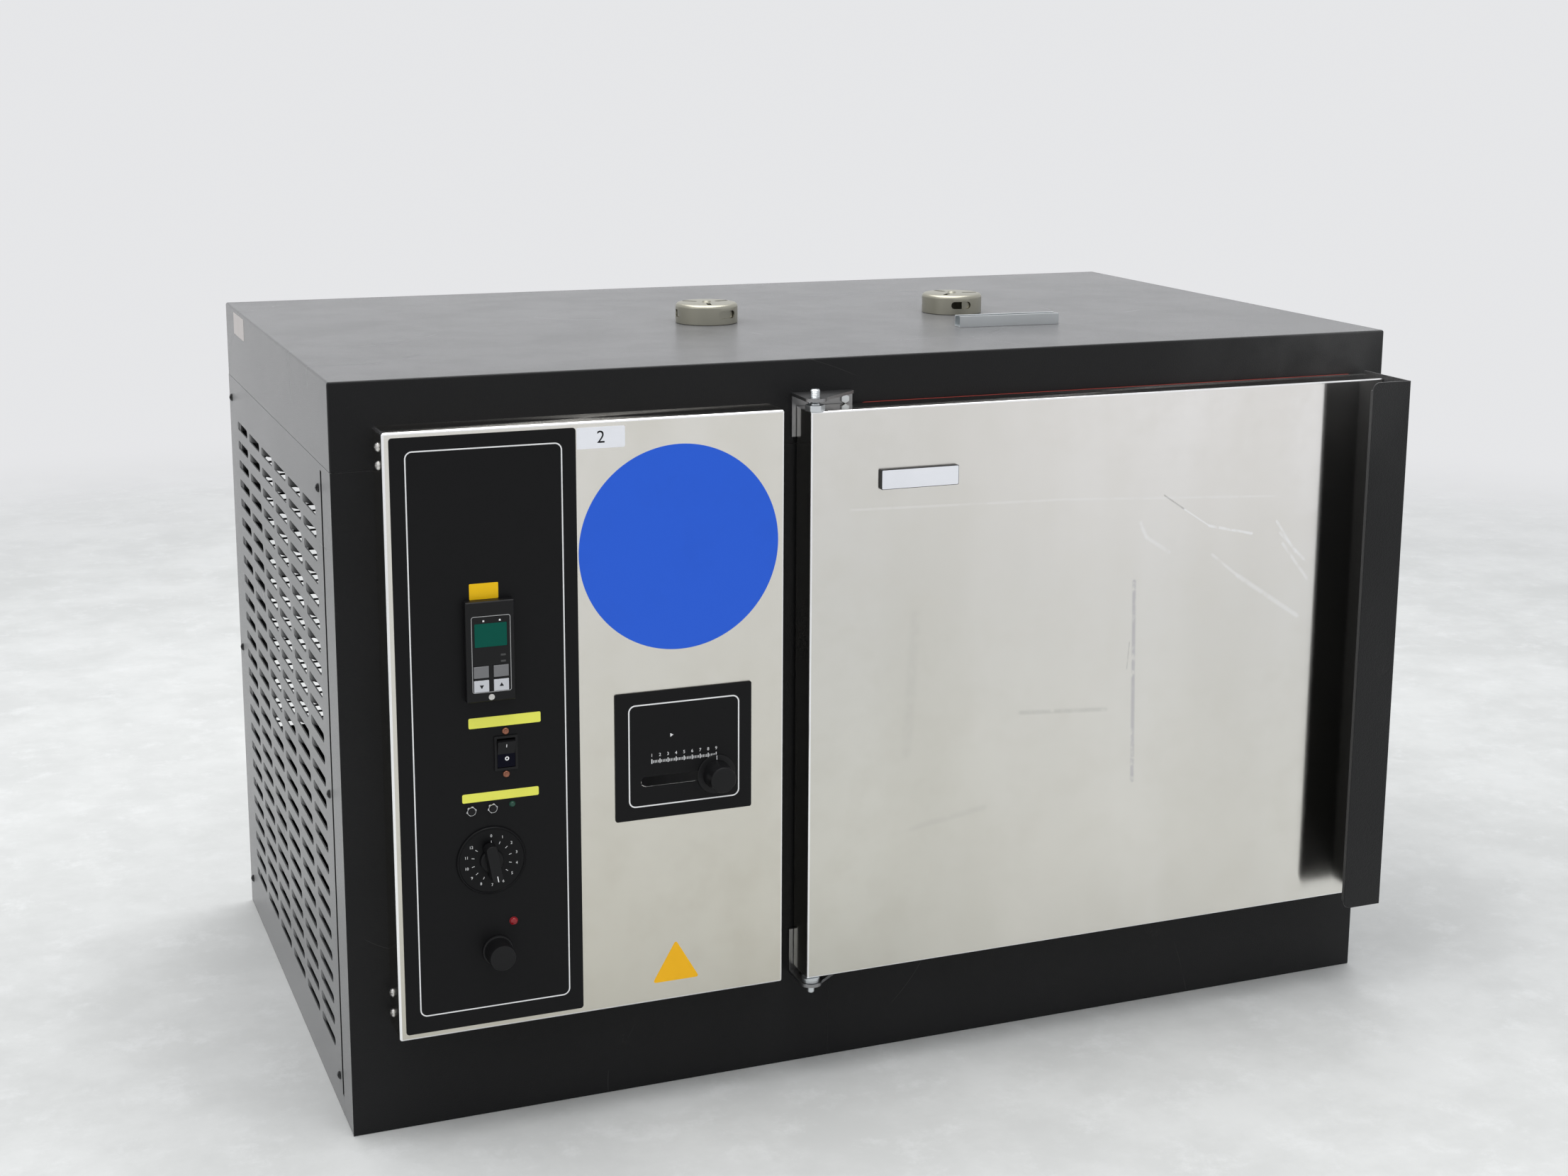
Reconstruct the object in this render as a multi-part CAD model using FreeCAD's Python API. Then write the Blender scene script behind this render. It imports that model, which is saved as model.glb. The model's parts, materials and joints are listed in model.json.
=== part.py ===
"""Bench laboratory oven with a control bay on the left and a hinged chamber door on the right.

Millimetres. The model is drawn in case coordinates: X from the left side, Y from the front
sheet towards the rear, Z from the floor. Each piece is moved as it is saved, so that the part's
own origin is the centre of the base pan's underside.
"""
import FreeCAD
import Part
import math
import os

os.makedirs("parts", exist_ok=True)
V = FreeCAD.Vector

# Sheet metal
SHEET = 1.5              # outer case sheet
LINER = 1.2              # stainless chamber and door sheet
BEND = 2.5               # outer bend radius of the case
SEAM = 0.4               # gap at a butted sheet seam

# Chamber and what stands round it, which together give the case its size
BAY_LAP = 31.0           # control module's right end past the chamber side of the bay wall
WOOL = 48.8              # insulation on the left and the rear
CAVITY_WIDTH = 630.0     # inside the liner, ducts included
CAVITY_HEIGHT = 486.0
CAVITY_DEPTH = 558.5     # behind the front sheet
SIDE_WOOL = 43.8
SIDE_AIR = 11.5
REAR_AIR = 30.5
UNDER_SPACE = 138.8      # floor to the underside of the liner
UNDER_WOOL = 44.0
TOP_WOOL = 72.8
TOP_AIR = 23.5

# Ducts inside the liner
LEFT_DUCT = 84.0         # plenum that holds the blower and the heater
RIGHT_DUCT = 18.8

# Case
SKIRT = 82.0             # depth of the top cover's skirt
PAN_RISE = 20.0          # upstand of the base pan
RETURN = 44.0            # depth of the front corner returns
PANEL_GAP = 6.0          # open gap between a corner return and the side panel
TOP_FLANGE = 14.0        # flange along the top of the front sheets
SEAM_FROM_DOOR = 39.5    # door's hinge side to the seam of the two front sheets
POST = 70.0              # long leg of a corner post
POST_SHORT = 34.0
POST_SHEET = 2.0
POST_GAP = 1.0
FLANGE_GAP = 1.0         # from the flange of the front sheets to what stands behind it

# Vent slots in the left side panel and the rear panel
SLOT_LENGTH = 71.0
SLOT_HEIGHT = 7.4
SLOT_PITCH_ALONG = 86.0
SLOT_PITCH_UP = 22.17
SLOT_FIRST_ALONG = 118.0
SLOT_FIRST_UP = 60.0
SLOT_COLUMNS = 6
SLOT_ROWS = 25
REAR_SLOT = (71.0, 4.4)
REAR_SLOT_GAP = 1.5        # from a corner post to the end of the rear slots
REAR_SLOT_LOW = 217.0
REAR_SLOT_PITCH = 7.7
REAR_SLOT_ROWS = 43

# Screws
SCREW_HEAD = 4.4
SCREW_RISE = 2.2
SCREW_SHANK = 2.2
SCREW_LENGTH = 6.0
SCREW_PLAY = 0.3
SIDE_SCREW_INSET = 21.0
SIDE_SCREW_HEIGHTS = (35.0, 322.0, 618.0)
FRONT_SCREW_Y = 62.0

# Door opening and door
OPENING_SIDE_LEFT = 4.8   # from the left duct wall to the opening
OPENING_SIDE_RIGHT = 2.0  # from the opening to the right duct wall
LAP_LEFT = 82.5
LAP_RIGHT = 52.0
LAP_BOTTOM = 34.0
LAP_TOP = 54.0
DOOR_FRONT = 41.5         # door face ahead of the front sheet
DOOR_BACK = 4.0
DOOR_BEND = 2.0
PLUG_PLAY = 7.0
PLUG_REACH = 12.0
PLUG_TAPER = 8.0
GASKET_WIDTH = 14.0
GASKET_LAP = 19.0         # gasket's outer edge outside the left of the opening
GASKET_PLAY = 0.4
GASKET_EDGE = 8.0         # gasket's outer edge inside the door's free side
GASKET_LOW = 7.0
GASKET_HIGH = 0.2
GASKET_CORNER = 10.0
CATCH_WIDTH = 20.0
CATCH_HEIGHT = 44.0
CATCH_RISE = 2.4
STRIKE_PLAY = 0.3

# Door handle strip
HANDLE_SHEET = 2.0
HANDLE_REACH = 85.0
HANDLE_WIDTH = 46.0
HANDLE_LIP = 5.0
HANDLE_CORNER = 8.0
HANDLE_LOW = 2.0
HANDLE_HIGH = 3.5
HANDLE_ROOT = 6.0

# Hinges: a bracket above and one below the door, with a stud and a pin on one axis
PIN_INSET = 6.0
PIN_BEHIND = 5.5
STUD_RADIUS = 4.8
PIN_RADIUS = 3.75
RUNNING_FIT = 0.06
BRACKET_SHEET = 3.0
BRACKET_TIP = 11.0
BRACKET_WIDTH = 63.0
BRACKET_LEFT = 10.5
TOP_PLATE_GAP = 9.8
TOP_LEG = 39.8
BOTTOM_PLATE_GAP = 5.0
BOTTOM_LEG = 43.7
NUT_FLATS = 17.0
NUT_HEIGHT = 6.2
STUD_TOP = 21.0
PIN_BELOW = 16.5

# Control module on the front of the bay
MODULE_X = 39.0
MODULE_Z = 107.5
MODULE_HEIGHT = 576.0
MODULE_DEPTH = 41.0
MODULE_FLANGE = 14.0
COVER_SCREWS_LOW = (-12.6, 17.7, 38.1)    # depth, then distances from the module's lower end
COVER_SCREWS_HIGH = (-23.6, 15.2, 31.9)   # depth, then distances from its upper end
OVERLAY_INSET = 6.0
OVERLAY_WIDTH = 171.0
OVERLAY_HEIGHT = 565.0
OVERLAY_SHEET = 0.6

# Places on the module, measured from its lower left corner
CONTROLLER_AT = (69.0, 323.5)
ROCKER_AT = (106.0, 270.5)
OFF_BUTTON_AT = (72.0, 218.0)
RESET_BUTTON_AT = (92.0, 218.5)
HEATING_LAMP_AT = (111.0, 220.0)
TIMER_AT = (90.0, 167.8)
LIMIT_LAMP_AT = (110.0, 104.8)
LIMIT_AT = (94.0, 78.1)
AIR_PLATE_UP = 188.5
AIR_PLATE_MARGIN = 34.0  # bare steel on each side of the air plate

# Temperature controller
CONTROLLER_WIDTH = 45.5
CONTROLLER_HEIGHT = 94.6
CONTROLLER_RISE = 9.0
CONTROLLER_DEPTH = 88.0
CONTROLLER_EDGE = 2.0
DISPLAY_AT = (8.0, 52.0)
DISPLAY_SIZE = (30.0, 22.0)
DISPLAY_THICK = 0.6
KEY_WIDTH = 14.0
KEY_HEIGHT = 11.0
KEY_COLUMNS = (6.5, 25.0)
KEY_ROWS = (9.8, 23.0)
KEY_RISE = 0.8
KEY_THICK = 2.9
KEY_TRAVEL = 0.6
PART_PLAY = 0.35         # clearance between pieces that move past each other

# Rocker switch
ROCKER_WIDTH = 16.6
ROCKER_HALF = 12.7
ROCKER_TILT = 8.0
ROCKER_BEZEL = (22.0, 33.0)
ROCKER_CAVITY_HALF = 14.2
ROCKER_BODY_DEPTH = 26.0
TRUNNION = 1.5

# Push buttons, lamps and rivets
RING_RADIUS = 5.0
RING_RISE = 3.0
BARREL_RADIUS = 4.2
BARREL_DEPTH = 11.0
PLUNGER_RADIUS = 3.15
PLUNGER_RISE = 1.2
BUTTON_TRAVEL = 1.2
LAMP_BODY = 2.8
LAMP_LENGTH = 12.0
HEATING_LAMP_RADIUS = 3.0
LIMIT_LAMP_RADIUS = 4.0
RIVET_RADIUS = 3.5
RIVET_RISE = 1.6
RIVET_OFFSET = 20.7

# Timer and over-temperature thermostat
DIAL_RADIUS = 33.0
DIAL_THICK = 2.5
TIMER_CAN = (22.0, 34.0)
SPINDLE = 3.0
TIMER_SKIRT = 15.0
TIMER_GRIP = (12.0, 27.0, 10.0)
LIMIT_BASE = 14.7
LIMIT_CAP = 13.2
LIMIT_LENGTH = 23.0
LIMIT_CAN = (18.0, 30.0)
KNOB_GAP = 0.4
SKIRT_THICK = 2.2

# Air slider
AIR_PLATE = (137.0, 126.0)
AIR_PLATE_THICK = 1.5
AIR_SLOT_CENTRE = (68.5, 37.0)
AIR_SLOT = (86.4, 10.0)
AIR_KNOB_FROM_END = 10.7
AIR_TRAVEL = 65.0
AIR_DISC = 19.5
AIR_CAP = 13.75
AIR_CAP_LENGTH = 22.0
AIR_ROD = 4.0
AIR_ROD_BACK = 70.0      # rod's distance behind the front sheet
PORT_RADIUS = 24.0
PORT_WALL = 1.2
DAMPER_RADIUS = 30.0
DAMPER_GAP = 14.0        # damper disc to the duct wall when the port is open

# Vents on the top cover
VENTS_FROM_LINER = (21.0, 314.0)
VENT_DEPTH = 295.0       # behind the case's front
VENT_OPEN_TURN = (48.0, 18.0)
WINDOWS = 3
WINDOW_TURN = 246.0      # where the first window of the fixed collar faces
VENT_CAP_RADIUS = 33.5
VENT_CAP_HEIGHT = 22.0
VENT_CAP_WALL = 1.6
VENT_COLLAR = 31.4
VENT_COLLAR_WALL = 1.4
VENT_BORE = 17.5
VENT_WINDOW_HEIGHT = 8.0
VENT_WINDOW_HALF = 20.0
VENT_WINDOW_LOW = 7.0
VENT_FLOAT = 0.4
VENT_HUB = (6.0, 6.0)
VENT_BOLT = 2.5
VENT_BOLT_HEAD = (5.0, 2.0)
VENT_BAR = (8.0, 3.0)
CAP_SLIT = (17.0, 4.6)
CAP_SLIT_OUT = 20.0
CAP_SLIT_TURN = 156.0    # turn from a slit to a window of the same cap

# Shelves
SHELF_PLAY = 3.0
SHELF_FRONT = 22.0
SHELF_REAR = 23.0
SHELF_LEVELS = (160.0, 320.0)
SHELF_FRAME = 3.0
SHELF_WIRE = 1.5
SHELF_WIRES = 19
SHELF_SLIDE = 6.0
RAIL_WIDTH = 15.0
RAIL_HEIGHT = 18.0
RAIL_SHEET = 1.5
RAIL_INSETS = (60.0, 30.0)       # from the case's front and from the liner's rear wall
STANDARD_DEPTH = 3.0
STANDARD_WIDTH = 16.0
STANDARD_INSETS = (110.0, 100.0)
STANDARD_SHORT = 12.0

# Blower and heater
BLOWER_AT = (330.0, 400.0)
MOTOR_RADIUS = 48.0
MOTOR_LENGTH = 78.0
MOTOR_BORE = 30.0
MOTOR_FOOT = (4.0, 124.0, 40.0)
SHAFT_RADIUS = 5.0
SHAFT_HOLE = 8.0
WHEEL_RADIUS = 66.0
WHEEL_INNER = 52.0
WHEEL_WIDTH = 36.0
WHEEL_GAP = 14.0
BLADES = 24
SCROLL_WIDTH = 58.0
SCROLL_RADIUS = 76.0
SCROLL_STEP = 9.0
SCROLL_INLET = 50.0
SCROLL_OUTLET = 115.0
HEATER_TUBE = 4.0
HEATER_LEGS = 4
HEATER_PITCH = 26.0
HEATER_INSETS = (150.0, 60.0)    # from the case's front and from the liner's rear wall
HEATER_LOW = 30.0
BENT_SIDES = 8
DUCT_SLOT = (60.0, 8.0)
DUCT_SLOT_ROWS = 10
DUCT_SLOT_PITCH = 42.0
DUCT_SLOT_FIRST = 54.0
RIGHT_SLOT_INSETS = (160.0, 160.0)
LEFT_SLOT_INSETS = (160.0, 60.0)

# Cable gland on the rear panel
GLAND_AT = (80.0, 70.0)
GLAND_FLATS = 27.0
GLAND_LENGTH = 16.0
GLAND_BORE = 5.0

# Loose channel lying on the top cover
CHANNEL = (116.0, 15.5, 12.0)
CHANNEL_SHEET = 1.2
CHANNEL_LIP = 3.0
CHANNEL_FROM_VENT = (-51.9, -130.5)
CHANNEL_TURN = -2.7

# Derived places, in case coordinates
AIR_PLATE_AT = (OVERLAY_INSET + OVERLAY_WIDTH + AIR_PLATE_MARGIN, AIR_PLATE_UP)
MODULE_WIDTH = AIR_PLATE_AT[0] + AIR_PLATE[0] + AIR_PLATE_MARGIN
MODULE_X1 = MODULE_X + MODULE_WIDTH
MODULE_Z1 = MODULE_Z + MODULE_HEIGHT
BAY_WIDTH = MODULE_X1 - BAY_LAP
LINER_X0 = BAY_WIDTH + WOOL + LINER
LINER_X1 = LINER_X0 + CAVITY_WIDTH
LINER_Z0 = UNDER_SPACE + LINER
LINER_Z1 = LINER_Z0 + CAVITY_HEIGHT
LINER_Y1 = SHEET + CAVITY_DEPTH
CASE_WIDTH = LINER_X1 + LINER + SIDE_WOOL + SIDE_AIR + SHEET
CASE_HEIGHT = LINER_Z1 + LINER + TOP_WOOL + TOP_AIR + SHEET
CASE_DEPTH = LINER_Y1 + LINER + WOOL + REAR_AIR + SHEET
SKIRT_Z = CASE_HEIGHT - SKIRT
DUCT_LEFT_X = LINER_X0 + LEFT_DUCT
DUCT_RIGHT_X = LINER_X1 - RIGHT_DUCT - LINER
OPEN_X0 = DUCT_LEFT_X + LINER + OPENING_SIDE_LEFT
OPEN_X1 = DUCT_RIGHT_X - OPENING_SIDE_RIGHT
DOOR_X0 = OPEN_X0 - LAP_LEFT
DOOR_X1 = OPEN_X1 + LAP_RIGHT
DOOR_Z0 = LINER_Z0 - LAP_BOTTOM
DOOR_Z1 = LINER_Z1 + LAP_TOP
PIN_X = DOOR_X0 + PIN_INSET
PIN_Y = PIN_BEHIND - DOOR_FRONT
COVER_Y = -MODULE_DEPTH
FACE_Y = COVER_Y - OVERLAY_SHEET
SEAM_X = DOOR_X0 + SEAM_FROM_DOOR
VENT_CENTRES = tuple((LINER_X0 + place, VENT_DEPTH) for place in VENTS_FROM_LINER)
ROD_X = MODULE_X + AIR_PLATE_AT[0] + AIR_SLOT_CENTRE[0] + AIR_SLOT[0] / 2 - AIR_KNOB_FROM_END
ROD_Z = MODULE_Z + AIR_PLATE_AT[1] + AIR_SLOT_CENTRE[1]
BLOWER_Y, BLOWER_Z = BLOWER_AT
STRIP_X = (DUCT_LEFT_X + LINER + STANDARD_DEPTH, DUCT_RIGHT_X - STANDARD_DEPTH)
CATCH_X = (OPEN_X1 + DOOR_X1 - GASKET_EDGE) / 2 - CATCH_WIDTH
CATCH_Z = (LINER_Z0 + LINER_Z1) / 2

NORMAL = {"x": V(1, 0, 0), "y": V(0, 1, 0), "z": V(0, 0, 1)}


def point(axis, u, v, w):
    """The point (u, v) of the plane that stands at w across the named axis."""
    if axis == "x":
        return V(w, u, v)
    if axis == "y":
        return V(u, w, v)
    return V(u, v, w)


def polygon(axis, w, corners):
    """Closed straight-sided outline in the plane at w."""
    line = [point(axis, u, v, w) for u, v in corners]
    return Part.makePolygon(line + line[:1])


def rectangle(axis, w, low, high, radius=0.0):
    """Closed rectangle, with round corners where a radius is given."""
    u0, v0 = low
    u1, v1 = high
    if radius == 0:
        return polygon(axis, w, [(u0, v0), (u1, v0), (u1, v1), (u0, v1)])
    edges = []
    centres = [(u1 - radius, v0 + radius), (u1 - radius, v1 - radius),
               (u0 + radius, v1 - radius), (u0 + radius, v0 + radius)]
    ends = []
    for quarter, (cu, cv) in enumerate(centres):
        turns = [math.radians(90 * quarter + turn) for turn in (-90, -45, 0)]
        arc = [point(axis, cu + radius * math.cos(t), cv + radius * math.sin(t), w) for t in turns]
        ends.append(arc)
        edges.append(Part.Arc(*arc).toShape())
    for quarter in range(4):
        edges.append(Part.LineSegment(ends[quarter - 1][2], ends[quarter][0]).toShape())
    return Part.Wire(Part.__sortEdges__(edges))


def slot(axis, w, centre, length, height):
    """Slot outline with three-sided ends."""
    radius = height / 2
    reach = length / 2 - radius
    turns = [math.radians(turn) for turn in (-90, -30, 30, 90)]
    right = [(reach + radius * math.cos(t), radius * math.sin(t)) for t in turns]
    left = [(-u, -v) for u, v in right]
    return polygon(axis, w, [(centre[0] + u, centre[1] + v) for u, v in right + left])


def regular(axis, w, centre, radius, sides, turn=0.0):
    """Regular polygon outline; radius reaches its corners."""
    turns = [math.radians(turn + 360 * side / sides) for side in range(sides)]
    return polygon(axis, w, [(centre[0] + radius * math.cos(t), centre[1] + radius * math.sin(t))
                             for t in turns])


def circle(axis, w, centre, radius):
    """Round outline."""
    return Part.Wire(Part.makeCircle(radius, point(axis, centre[0], centre[1], w), NORMAL[axis]))


def sheet(axis, w, thickness, outer, holes=()):
    """Flat sheet from w to w + thickness, cut by the hole outlines."""
    face = Part.makeFace([outer] + list(holes), "Part::FaceMakerBullseye")
    return face.Faces[0].extrude(NORMAL[axis] * thickness)


def block(x, y, z):
    """Box between pairs of X, Y and Z values."""
    return Part.makeBox(x[1] - x[0], y[1] - y[0], z[1] - z[0], V(x[0], y[0], z[0]))


def rod(axis, centre, w0, w1, radius):
    """Cylinder along an axis from w0 to w1."""
    return Part.makeCylinder(radius, w1 - w0, point(axis, centre[0], centre[1], w0), NORMAL[axis])


def tube(axis, centre, w0, w1, outer, inner):
    """Round pipe along an axis."""
    return rod(axis, centre, w0, w1, outer).cut(rod(axis, centre, w0, w1, inner))


def cone(axis, centre, w0, w1, r0, r1):
    """Cone frustum along an axis, from radius r0 at w0 to r1 at w1."""
    return Part.makeCone(r0, r1, w1 - w0, point(axis, centre[0], centre[1], w0), NORMAL[axis])


def turned(profile, centre, start):
    """Body turned about the Y line through centre; profile lists (radius, y) points."""
    line = [V(centre[0] + radius, start + y, centre[1]) for radius, y in profile]
    face = Part.Face(Part.makePolygon(line + line[:1]))
    return face.revolve(V(centre[0], start, centre[1]), V(0, 1, 0), 360)


def loft(low, high):
    """Solid between two outlines, with flat sides."""
    return Part.makeLoft([low, high], True, True)


def on_module(place, du=0.0, dv=0.0):
    """Case coordinates of a place given on the control module."""
    return (MODULE_X + place[0] + du, MODULE_Z + place[1] + dv)


def save(node, *pieces):
    """Move the pieces to the part's own origin and write them as one file."""
    solids = [solid for piece in pieces for solid in piece.Solids]
    shape = solids[0] if len(solids) == 1 else Part.makeCompound(solids)
    shape = shape.copy()
    shape.translate(V(-CASE_WIDTH / 2, -CASE_DEPTH / 2, 0))
    shape.exportStep(f"parts/{node}.step")
    print(node, len(solids), round(shape.Volume / 1000, 1), "cm3", shape.isValid())


def side_screw_places():
    """Where the side panels are screwed to the posts, as (y, z)."""
    return [(y, z) for y in (FRONT_SCREW_Y, CASE_DEPTH - SIDE_SCREW_INSET)
            for z in SIDE_SCREW_HEIGHTS]


def rear_screw_places():
    """Where the rear panel is screwed to the posts, as (x, z)."""
    inset = SHEET + POST_SHORT / 2
    return [(x, z) for x in (inset, CASE_WIDTH - inset) for z in SIDE_SCREW_HEIGHTS]


def screw_hole(axis, w, centre):
    return regular(axis, w, centre, SCREW_SHANK + SCREW_PLAY, 6)


def screw(axis, centre, face, inward):
    """Pan-head screw seated on a face; inward is the sign of the way its shank points."""
    outer = face - inward * SCREW_RISE
    low, high = min(face, outer), max(face, outer)
    radii = (0.7 * SCREW_HEAD, SCREW_HEAD)
    if inward < 0:
        radii = radii[::-1]
    head = cone(axis, centre, low, high, *radii)
    end = face + inward * SCREW_LENGTH
    shank = Part.Face(regular(axis, min(face, end), centre, SCREW_SHANK, 6))
    return head.fuse(shank.extrude(NORMAL[axis] * SCREW_LENGTH))


def base_pan():
    """Floor sheet with upstands between the corner posts."""
    x = (SHEET, CASE_WIDTH - SHEET)
    y = (SHEET, CASE_DEPTH - SHEET)
    floor = block(x, y, (0, SHEET))
    run_y = (y[0] + POST + POST_GAP, y[1] - POST - POST_GAP)
    run_x = (x[0] + POST_SHORT + POST_GAP, x[1] - POST_SHORT - POST_GAP)
    left = block((x[0], x[0] + SHEET), run_y, (0, PAN_RISE))
    right = block((x[1] - SHEET, x[1]), run_y, (0, PAN_RISE))
    rear = block(run_x, (y[1] - SHEET, y[1]), (0, PAN_RISE))
    save("base_pan", floor.fuse([left, right, rear]).removeSplitter())


def flange_notch(x):
    """Space that posts and walls leave for the flange along the top of the front sheets."""
    return block(x, (0, TOP_FLANGE + FLANGE_GAP), (SKIRT_Z - SEAM - SHEET - FLANGE_GAP, SKIRT_Z))


def front_sheet(x0, x1, corner, openings):
    """One front sheet with a corner return on its outer side and a flange along its top."""
    outer = rectangle("y", 0, (x0, SEAM), (x1, SKIRT_Z - SEAM))
    face = sheet("y", 0, SHEET, outer, openings)
    side = (corner, corner + SHEET) if corner == x0 else (corner - SHEET, corner)
    back = block(side, (0, RETURN), (SHEET, SKIRT_Z - SEAM))
    top = block((x0 + POST_SHORT, x1 - POST_SHORT), (0, TOP_FLANGE),
                (SKIRT_Z - SEAM - SHEET, SKIRT_Z - SEAM))
    return face.fuse([back, top]).removeSplitter()


def fascias():
    """Bay front with the large opening behind the control module, and oven front."""
    window = rectangle("y", 0, (MODULE_X + 3 * MODULE_FLANGE / 2, MODULE_Z + MODULE_FLANGE),
                       (MODULE_X1 - 3 * MODULE_FLANGE / 2, SKIRT_Z - 2 * MODULE_FLANGE))
    save("bay_fascia", front_sheet(0, SEAM_X - SEAM / 2, 0, [window]))
    opening = rectangle("y", 0, (OPEN_X0, LINER_Z0), (OPEN_X1, LINER_Z1))
    save("oven_fascia", front_sheet(SEAM_X + SEAM / 2, CASE_WIDTH, CASE_WIDTH, [opening]))


def top_cover():
    """Lid with deep skirts, bent round its edges and pierced for the two vents."""
    body = block((0, CASE_WIDTH), (0, CASE_DEPTH), (SKIRT_Z, CASE_HEIGHT))
    top = [edge for edge in body.Edges if edge.BoundBox.ZMin > SKIRT_Z + 1]
    upright = [edge for edge in body.Edges if edge.BoundBox.ZLength > SKIRT - 1]
    body = body.makeFillet(BEND, top + upright)
    inside = block((SHEET, CASE_WIDTH - SHEET), (SHEET, CASE_DEPTH - SHEET),
                   (SKIRT_Z - 1, CASE_HEIGHT - SHEET))
    body = body.cut(inside)
    for centre in VENT_CENTRES:
        body = body.cut(rod("z", centre, SKIRT_Z, CASE_HEIGHT + 1, VENT_COLLAR))
    save("top_cover", body)


def side_panels():
    """Slotted panel beside the control bay and plain panel beside the chamber."""
    front = RETURN + PANEL_GAP
    tab = RETURN + SEAM
    low = SEAM
    high = SKIRT_Z - SEAM
    corners = [(tab, low), (CASE_DEPTH, low), (CASE_DEPTH, high), (tab, high), (tab, high - PANEL_GAP),
               (front, high - PANEL_GAP), (front, PAN_RISE), (tab, PAN_RISE)]
    slots = []
    for column in range(SLOT_COLUMNS):
        for row in range(SLOT_ROWS):
            centre = (SLOT_FIRST_ALONG + SLOT_PITCH_ALONG * column, SLOT_FIRST_UP + SLOT_PITCH_UP * row)
            slots.append(slot("x", 0, centre, SLOT_LENGTH, SLOT_HEIGHT))
    holes = [screw_hole("x", 0, place) for place in side_screw_places()]
    save("left_side_panel", sheet("x", 0, SHEET, polygon("x", 0, corners), slots + holes))
    w = CASE_WIDTH - SHEET
    holes = [screw_hole("x", w, place) for place in side_screw_places()]
    save("right_side_panel", sheet("x", w, SHEET, polygon("x", w, corners), holes))


def rear_panel():
    """Rear sheet with vent slots over the control bay and the gland's hole."""
    w = CASE_DEPTH - SHEET
    outer = rectangle("y", w, (SHEET + SEAM, SEAM), (CASE_WIDTH - SHEET - SEAM, SKIRT_Z - SEAM))
    holes = [screw_hole("y", w, place) for place in rear_screw_places()]
    slot_x = SHEET + POST_SHORT + REAR_SLOT_GAP + REAR_SLOT[0] / 2
    for row in range(REAR_SLOT_ROWS):
        centre = (slot_x, REAR_SLOT_LOW + REAR_SLOT_PITCH * row)
        holes.append(slot("y", w, centre, *REAR_SLOT))
    holes.append(circle("y", w, GLAND_AT, GLAND_BORE + 2))
    save("rear_panel", sheet("y", w, SHEET, outer, holes))


def frame_posts():
    """Angle posts in the four corners, drilled for the panel screws."""
    posts = []
    for right in (False, True):
        for rear in (False, True):
            x0 = CASE_WIDTH - SHEET - POST_SHORT if right else SHEET
            y0 = CASE_DEPTH - SHEET - POST if rear else SHEET
            outer = block((x0, x0 + POST_SHORT), (y0, y0 + POST), (SHEET, SKIRT_Z - 2))
            dx = -POST_SHEET if right else POST_SHEET
            dy = -POST_SHEET if rear else POST_SHEET
            inner = block((x0 + dx, x0 + POST_SHORT + dx), (y0 + dy, y0 + POST + dy), (0, CASE_HEIGHT))
            post = outer.cut(inner)
            w = CASE_WIDTH - SHEET - POST_SHEET if right else SHEET
            for place in side_screw_places():
                post = post.cut(sheet("x", w - 1, POST_SHEET + 2, screw_hole("x", w - 1, place)))
            if rear:
                w = CASE_DEPTH - SHEET - POST_SHEET
                for place in rear_screw_places():
                    post = post.cut(sheet("y", w - 1, POST_SHEET + 2, screw_hole("y", w - 1, place)))
            else:
                post = post.cut(flange_notch((0, CASE_WIDTH)))
            posts.append(post)
    save("frame_posts", *posts)


def panel_screws():
    """Screws of the side panels and the rear panel."""
    screws = [screw("x", place, 0, 1) for place in side_screw_places()]
    screws += [screw("x", place, CASE_WIDTH, -1) for place in side_screw_places()]
    screws += [screw("y", place, CASE_DEPTH, -1) for place in rear_screw_places()]
    save("panel_screws", *screws)


def bay_wall():
    """Upright sheet between the control bay and the chamber's insulation."""
    w = BAY_WIDTH - SHEET
    rear = CASE_DEPTH - 2 * SHEET
    outer = rectangle("x", w, (2 * SHEET, SHEET), (rear, CASE_HEIGHT - SHEET))
    port = circle("x", w, (AIR_ROD_BACK, ROD_Z), PORT_RADIUS + PORT_WALL)
    wall = sheet("x", w, SHEET, outer, [circle("x", w, BLOWER_AT, SHAFT_HOLE), port])
    save("bay_wall", wall.cut(flange_notch((w - SHEET, BAY_WIDTH + SHEET))))


def chamber_liner():
    """Stainless chamber of five welded sheets, pierced for the shaft, the air port and the vents."""
    wide = (LINER_X0 - LINER, LINER_X1 + LINER)
    deep = (SHEET, LINER_Y1)
    tall = (LINER_Z0, LINER_Z1)
    floor = block(wide, deep, (LINER_Z0 - LINER, LINER_Z0))
    roof = block(wide, deep, (LINER_Z1, LINER_Z1 + LINER))
    left = block((wide[0], LINER_X0), deep, tall)
    right = block((LINER_X1, wide[1]), deep, tall)
    rear = block(wide, (LINER_Y1, LINER_Y1 + LINER), (LINER_Z0 - LINER, LINER_Z1 + LINER))
    shaft_hole = rod("x", BLOWER_AT, *wide, SHAFT_HOLE)
    port_hole = rod("x", (AIR_ROD_BACK, ROD_Z), wide[0], DUCT_LEFT_X, PORT_RADIUS + PORT_WALL)
    left = left.cut(shaft_hole).cut(port_hole)
    for centre in VENT_CENTRES:
        roof = roof.cut(rod("z", centre, LINER_Z1, LINER_Z1 + LINER, VENT_BORE + PORT_WALL))
    save("chamber_liner", floor, roof, left, right, rear)


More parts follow.
